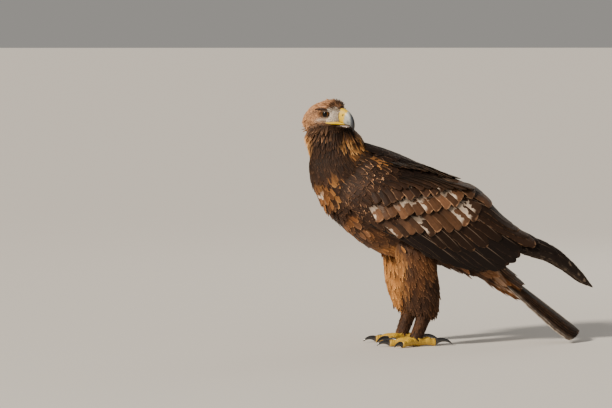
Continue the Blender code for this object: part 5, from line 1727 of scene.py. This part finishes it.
def tubeRings(line, radii, sides):
    rings = []
    for i, point in enumerate(line):
        run = Vector(line[min(i + 1, len(line) - 1)] - line[max(i - 1, 0)]).normalized()
        one = run.cross(Vector((0, 0, 1))).normalized()
        two = run.cross(one)
        angles = turns(sides)
        spokes = np.outer(np.cos(angles), np.array(one)) + np.outer(np.sin(angles), np.array(two))
        rings.append(point + radii[i] * spokes)
    return rings


def onBill(table):  # u is minus the place along the bill, v the turn from its ridge
    return lambda u, v: onHead(*billOwn(table, -u, v, 0.0002).T)


chinCoat = {"gap": 0.0024, "pitch": 0.0024, "length": 0.01, "width": 0.0032}


def coatChin():  # small dark feathers over the root of the lower bill
    surface = onBill(bill["lower"])
    u, v = staggered(surface, -2.9, -0.02, chinCoat, 18)
    turn = folded(v)
    roots = rootsOn(surface, u, v, lambda u: onHead(np.full(len(u), 0.045), 0.0, -0.02), 0.0 * u, 0.22,
                    chinCoat["length"], chinCoat["width"], (-u / 3, v / wholeTurn), 19, 0.25)
    light = lightChance(20, 0.25, len(u))
    roots["tone"], roots["edge"] = tones["throat"] * light, tones["throatEdge"] * light
    keep = (turn > 1.0) & (-u < 1.45 + 1.35 * ease(1.0, 2.2, turn))
    layFeathers("coatChin", kept(roots, keep), "short", "crown", seed=17, turnSpread=0.25)


loreCoat = {"gap": 0.0017, "pitch": 0.0017, "length": 0.0072, "width": 0.0015}


def coatLores():  # short pale bristly feathers over the root of the cere
    surface = onBill(bill["upper"])
    u, v = staggered(surface, -1.75, -0.05, loreCoat, 14)
    turn = folded(v)
    reach = 1.55 - 0.55 * ease(0.9, 1.6, turn) * fade(2.2, 2.6, turn) + 0.15 * np.cos(7 * turn)
    roots = rootsOn(surface, u, v, lambda u: onHead(np.full(len(u), 0.05), 0.0, 0.0), 0.0 * u, 0.2,
                    loreCoat["length"], loreCoat["width"], (-u / 2, v / wholeTurn), 15, 0.12)
    onRidge = fade(0.5, 0.8, turn)
    roots["tone"] = mixed(np.tile(tones["lore"], (len(u), 1)), tones["umber"], onRidge)
    roots["edge"] = mixed(np.tile(tones["loreEdge"], (len(u), 1)), tones["tawnyEdge"], onRidge)
    layFeathers("coatLores", kept(roots, (-u < reach) & (turn < 2.5)), "short", "crown",
                seed=16, turnSpread=0.25)


lidTones = np.array(((0.01, 0.007, 0.005), (0.33, 0.25, 0.19), (0.1, 0.058, 0.036)))  # rim, below, above


def browLine(side, t):  # the ridge over the eye, from the lores back
    out, up = 0.0195 + 0.0138 * np.sin(t * 1.9), 0.0124 + 0.0046 * np.sin(t * 2.6)
    return onHead(0.0375 - 0.038 * t, side * out, up)


def browReach(t):
    return 0.0025 * np.sin(0.25 + t * 2.7) ** 0.7


browCoat = {"gap": 0.0016, "pitch": 0.0013, "length": 0.007, "width": 0.0018}


def coatBrows():
    for side, name in ((leftSide, "coatBrowLeft"), (rightSide, "coatBrowRight")):
        def surface(u, v, side=side):  # u runs back along the ridge, v round it
            t = np.clip(u, 0.0, 1.0)
            run = unit(browLine(side, np.minimum(t + 0.01, 1)) - browLine(side, np.maximum(t - 0.01, 0)))
            flat = unit(np.cross(run, (0, 0, 1)))
            over = np.cross(flat, run)
            reach = browReach(t)[:, None]
            return (browLine(side, t) + run * ((u - t) * 0.04)[:, None]
                    + reach * (flat * np.sin(v)[:, None] + over * np.cos(v)[:, None]))

        u, v = staggered(surface, 0.02, 0.92, browCoat, 91)
        size = np.interp(u, [0, 0.3, 1.0], [0.7, 1.0, 0.8])
        roots = rootsOn(surface, u, v, lambda u, side=side: browLine(side, u), 0.0 * u, 0.1,
                        browCoat["length"] * size, browCoat["width"] * size,
                        (0.5 + 0.1 * u, v / 6.4), 92, 0.2)
        light = lightChance(93, 0.3, len(u))
        # painted shade: the brow feathers are near black on the ridge's underside and brown over its top
        over = ease(0.2, 0.9, np.cos(v))[:, None]
        roots["tone"] = (tones["throat"] * (1 - over) + tones["walnut"] * 0.8 * over) * light
        roots["edge"] = (tones["throatEdge"] * (1 - over) + tones["tawny"] * over) * light
        layFeathers(name, roots, "short", "crown", seed=19, turnSpread=0.15)


def makeFace():
    shapes, tone = [], []
    for side in (leftSide, rightSide):
        table = np.column_stack([np.linspace(0, 1, len(gape["up"])), *(gape[key] for key in gape)])
        forward, out, up, radius = smoothRows(table, np.linspace(0, 1, 24)).T
        shapes.append(loft(tubeRings(onHead(forward, side * out, up), radius, 12)))
    points, faces = joined(shapes)
    made = facingOut(newMesh("gapeSkin", points, faces, materials["cere"],
                             {"tone": np.tile(bill["yellow"], (len(points), 1))}))
    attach(made, "root")
    shapes, spokes = [], 48
    for side in (leftSide, rightSide):
        outward = eyeAxis(side)
        ahead = unit(np.cross(outward, (0, 0, 1))) * side  # towards the bill on both sides
        above = unit(np.cross(np.cross(outward, (0, 0, 1)), outward))
        ball = np.array(eye["place"]) * (1, side, 1)
        rings = []
        for turn in turns(spokes):
            spoke = ahead * math.cos(turn) + above * math.sin(turn)
            upper, lower = max(0.0, math.sin(turn)), max(0.0, -math.sin(turn))
            opening = math.radians(65 - 44 * upper**1.3 - 31 * lower**1.2)
            broad = 1 + 0.5 * math.cos(turn) ** 4  # the skin is broader at the corners
            wedge = (  # turn from the opening's edge, height off the ball
                (0.0, 0.00005), (-0.02, 0.0003), (0.02, 0.0006), (0.08 * broad, 0.0007),
                (0.17 * broad, 0.0006), (0.55, 0.0003), (0.8, -0.0002), (0.75, -0.001),
                (0.3, -0.0008), (0.1, -0.0003),
            )
            low = ease(-0.3, 0.3, -math.sin(turn))
            corner = ease(0.8, 0.97, abs(math.cos(turn)))  # the eye's corners are dark
            beyond = (lidTones[1] * low + lidTones[2] * (1 - low)) * (1 - corner) + lidTones[0] * corner
            tone.append([beyond if 3 < k < 8 else lidTones[0] for k in range(10)])
            rings.append(np.array([ball + (eye["radius"] + off) * (
                outward * math.cos(opening + a) + spoke * math.sin(opening + a)) for a, off in wedge]))
        count = len(rings[0])
        faces = [(i * count + k, i * count + (k + 1) % count, (i + 1) % spokes * count + (k + 1) % count,
                  (i + 1) % spokes * count + k) for i in range(spokes) for k in range(count)]
        shapes.append((onHead(*np.vstack(rings).T), faces))
        # the brow's ridge hangs over the eye; it is coloured near black as painted shade along the brow
        t = np.linspace(0, 1, 24)
        shapes.append(loft(tubeRings(browLine(side, t), 0.8 * browReach(t), 12)))
        tone.append(np.tile(lidTones[0], (len(shapes[-1][0]), 1)))
    points, faces = joined(shapes)
    made = facingOut(newMesh("eyeLids", points, faces, materials["lid"],
                             {"tone": np.vstack([np.asarray(part).reshape(-1, 3) for part in tone])}))
    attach(made, "root")


def eyeMaterial(name, centre, outward):
    material, tree, shader = newMaterial(name)
    n = newNodes(tree, {"place": "ShaderNodeTexCoord", "from": "ShaderNodeVectorMath",
                        "axis": "ShaderNodeVectorMath", "ramp": "ShaderNodeValToRGB",
                        "streak": "ShaderNodeTexNoise"})
    n["from"].operation = "SUBTRACT"
    n["from"].inputs[1].default_value = tuple(centre)
    n["axis"].operation = "DOT_PRODUCT"
    n["axis"].inputs[1].default_value = tuple(outward)
    tree.links.new(n["place"].outputs["Object"], n["from"].inputs[0])
    tree.links.new(n["from"].outputs[0], n["axis"].inputs[0])
    # distance from the eye's axis, from its share of the radius
    share = math2(tree, "DIVIDE", n["axis"].outputs["Value"], eye["radius"])
    away = math2(tree, "SQRT", math2(tree, "SUBTRACT", 1.0, math2(tree, "POWER", share, 2.0), clamp=True))
    n["streak"].inputs["Scale"].default_value = 900.0
    tree.links.new(n["place"].outputs["Object"], n["streak"].inputs["Vector"])
    streak = math2(tree, "SUBTRACT", n["streak"].outputs["Fac"], 0.5)
    away = math2(tree, "MULTIPLY_ADD", streak, 0.1, away)
    away = math2(tree, "MULTIPLY_ADD", math2(tree, "LESS_THAN", share, 0.0), 2.0, away)
    ramp = n["ramp"].color_ramp
    ramp.elements[0].position, ramp.elements[0].color = 0.5, (0.001, 0.001, 0.001, 1)
    ramp.elements[1].position, ramp.elements[1].color = 0.54, (0.06, 0.02, 0.004, 1)
    for position, colour in ((0.66, (0.2, 0.072, 0.01, 1)), (0.78, (0.12, 0.042, 0.007, 1)),
                             (0.84, (0.006, 0.004, 0.003, 1))):
        element = ramp.elements.new(position)
        element.color = colour
    tree.links.new(away, n["ramp"].inputs["Fac"])
    tree.links.new(n["ramp"].outputs["Color"], shader.inputs["Base Color"])
    setInputs(shader, {"Roughness": 0.3, "Specular IOR Level": 0.05,
                       "Coat Weight": 0.3, "Coat Roughness": 0.02})
    return material


def makeEyes():
    for side, node in ((leftSide, "eye_left"), (rightSide, "eye_right")):
        outward = eyeAxis(side)
        ball = np.array(eye["place"]) * (1, side, 1)
        centre = onHead(*ball)[0]
        out = onHead(*(ball + outward))[0] - centre
        shaped = bmesh.new()
        bmesh.ops.create_uvsphere(shaped, u_segments=48, v_segments=24, radius=eye["radius"])
        for vertex in shaped.verts:  # the clear front of the eye stands out a little
            bulge = max(0.0, vertex.co.normalized().dot(Vector(out)) - 0.72) / 0.28
            vertex.co *= 1 + 0.035 * bulge
        bmesh.ops.translate(shaped, verts=shaped.verts, vec=Vector(centre + toFrame))
        mesh = bpy.data.meshes.new(node + "Ball")
        shaped.to_mesh(mesh)
        shaped.free()
        mesh.shade_smooth()
        mesh.materials.append(eyeMaterial(node + "Iris", centre + toFrame, out))
        made = placed(node + "Ball", mesh)
        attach(made, "root")
        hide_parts(node)


foot = {
    "soleSink": 0.0008, "sides": 24,
    "toes": {  # turn from straight ahead to the outside, length, base radius, end radius, claw length
        "middle": (0.0, 0.064, 0.0095, 0.007, 0.034),
        "inner": (-33.0, 0.047, 0.0098, 0.0075, 0.042),
        "outer": (37.0, 0.052, 0.009, 0.0066, 0.029),
        "hind": (186.0, 0.04, 0.01, 0.0078, 0.047),
    },
    "clawSweep": math.radians(84), "clawTip": 0.0015,
    "skin": (0.6, 0.36, 0.025), "groove": (0.16, 0.085, 0.012), "claw": (0.018, 0.017, 0.018),
    "clawRoot": (0.075, 0.06, 0.05),
}


def makeFeet():
    for side, name in ((leftSide, "left"), (rightSide, "right")):
        shapes, tone = [], []
        for toe, (turn, length, base, end, clawLength) in foot["toes"].items():
            angle = math.radians(turn)
            heading = np.array([-math.cos(angle), side * math.sin(angle), 0.0])
            t = np.linspace(0.0, 1.0, 46)
            knuckle = 0.0009 * np.abs(np.sin(t * math.pi * 2.5))
            radii = base + (end - base) * t + knuckle
            ankle = np.array((leg["ankle"][0] + legShift(side), side * leg["sideways"], 0.0))
            middle = np.outer(t * length, heading) + ankle
            middle[:, 2] = radii - foot["soleSink"] + 0.004 * np.sin(t * math.pi) * (1 - 0.4 * t)
            beside = np.cross(heading, (0, 0, 1))
            around = turns(foot["sides"])
            rings = []
            plates = length / 0.0042
            for i, place in enumerate(t):
                upper = ease(0.1, 0.6, np.cos(around))
                saw = (place * plates) % 1.0
                bump = 0.0011 * upper * (1 - saw**4) - 0.0006
                pebble = 0.0003 * np.sin(around * 9 + i * 1.7) * (1 - upper)
                r = radii[i] + bump + pebble
                rings.append(middle[i] + np.outer(r * np.cos(around), (0, 0, 1))
                             + np.outer(r * np.sin(around), beside))
                dimples = 0.35 * (1 - upper) * (0.5 + 0.5 * np.sin(around * 9 + i * 1.7))
                groove = np.maximum(ease(0.72, 0.98, saw) * upper, dimples)
                tone.append(mixed(np.tile(foot["skin"], (len(around), 1)), np.array(foot["groove"]), groove))
            rings[-1] = middle[-1] + (rings[-1] - middle[-1]) * 0.93
            points, faces = loft(rings)
            shapes.append((points, faces))
            makeClaw(f"claw_{name}_{toe}", middle[-1], heading, clawLength, radii[-1])
        top = shankPoint(side, 1.0, turns(foot["sides"]))
        middle = top.mean(0)
        palm = [middle + (top - middle) * share + (ahead, 0, rise) for share, ahead, rise in
                ((0.5, 0, 0.006), (0.66, 0, -0.002), (0.84, -0.001, -0.011), (0.72, -0.002, -0.0215))]
        points, faces = loft(palm)
        shapes.append((points, faces))
        tone.append(np.tile(foot["skin"], (len(points), 1)))
        points, faces = joined(shapes)
        points[:, 2] = np.maximum(points[:, 2], -toFrame[2])
        made = facingOut(newMesh("toes_" + name, points, faces, materials["toe"], {"tone": np.vstack(tone)}))
        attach(made, "root")
        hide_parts("foot_" + name)


def makeClaw(node, start, heading, length, toeRadius):
    radius, steps, sides = length / foot["clawSweep"], 28, 20
    fall = (foot["clawTip"] - start[2]) / (2 * radius * math.sin(foot["clawSweep"] / 2))
    angle = foot["clawSweep"] / 2 + math.asin(fall)
    point = np.asarray(start, float) - heading * 0.0015
    a = turns(sides)
    rings = []
    for i in range(steps + 1):
        t = i / steps
        slope = angle - foot["clawSweep"] * t
        run = heading * math.cos(slope) + np.array([0, 0, math.sin(slope)])
        above = np.array([0, 0, math.cos(slope)]) - heading * math.sin(slope)
        thick = toeRadius * (0.8 * (1 - t) ** 0.75 + 0.04)
        rings.append(point + np.outer(thick * np.cos(a), above)
                     + np.outer(0.78 * thick * np.sin(a), np.cross(above, run)))
        point = point + run * length / steps
    points, faces = loft(rings)
    atRoot = fade(0.0, 0.25, np.repeat(np.linspace(0, 1, steps + 1), sides))
    tone = mixed(np.tile(foot["claw"], (len(points), 1)), np.array(foot["clawRoot"]), atRoot)
    made = facingOut(newMesh("talon" + node[4:], points, faces, materials["claw"], {"tone": tone}))
    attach(made, "root")
    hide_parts(node)


makeBill()
makeFace()
coatLores()
coatChin()
coatBrows()
makeEyes()
makeFeet()
print("bill, eyes and feet are made")

for form in featherForms.values():
    bpy.data.objects.remove(form)
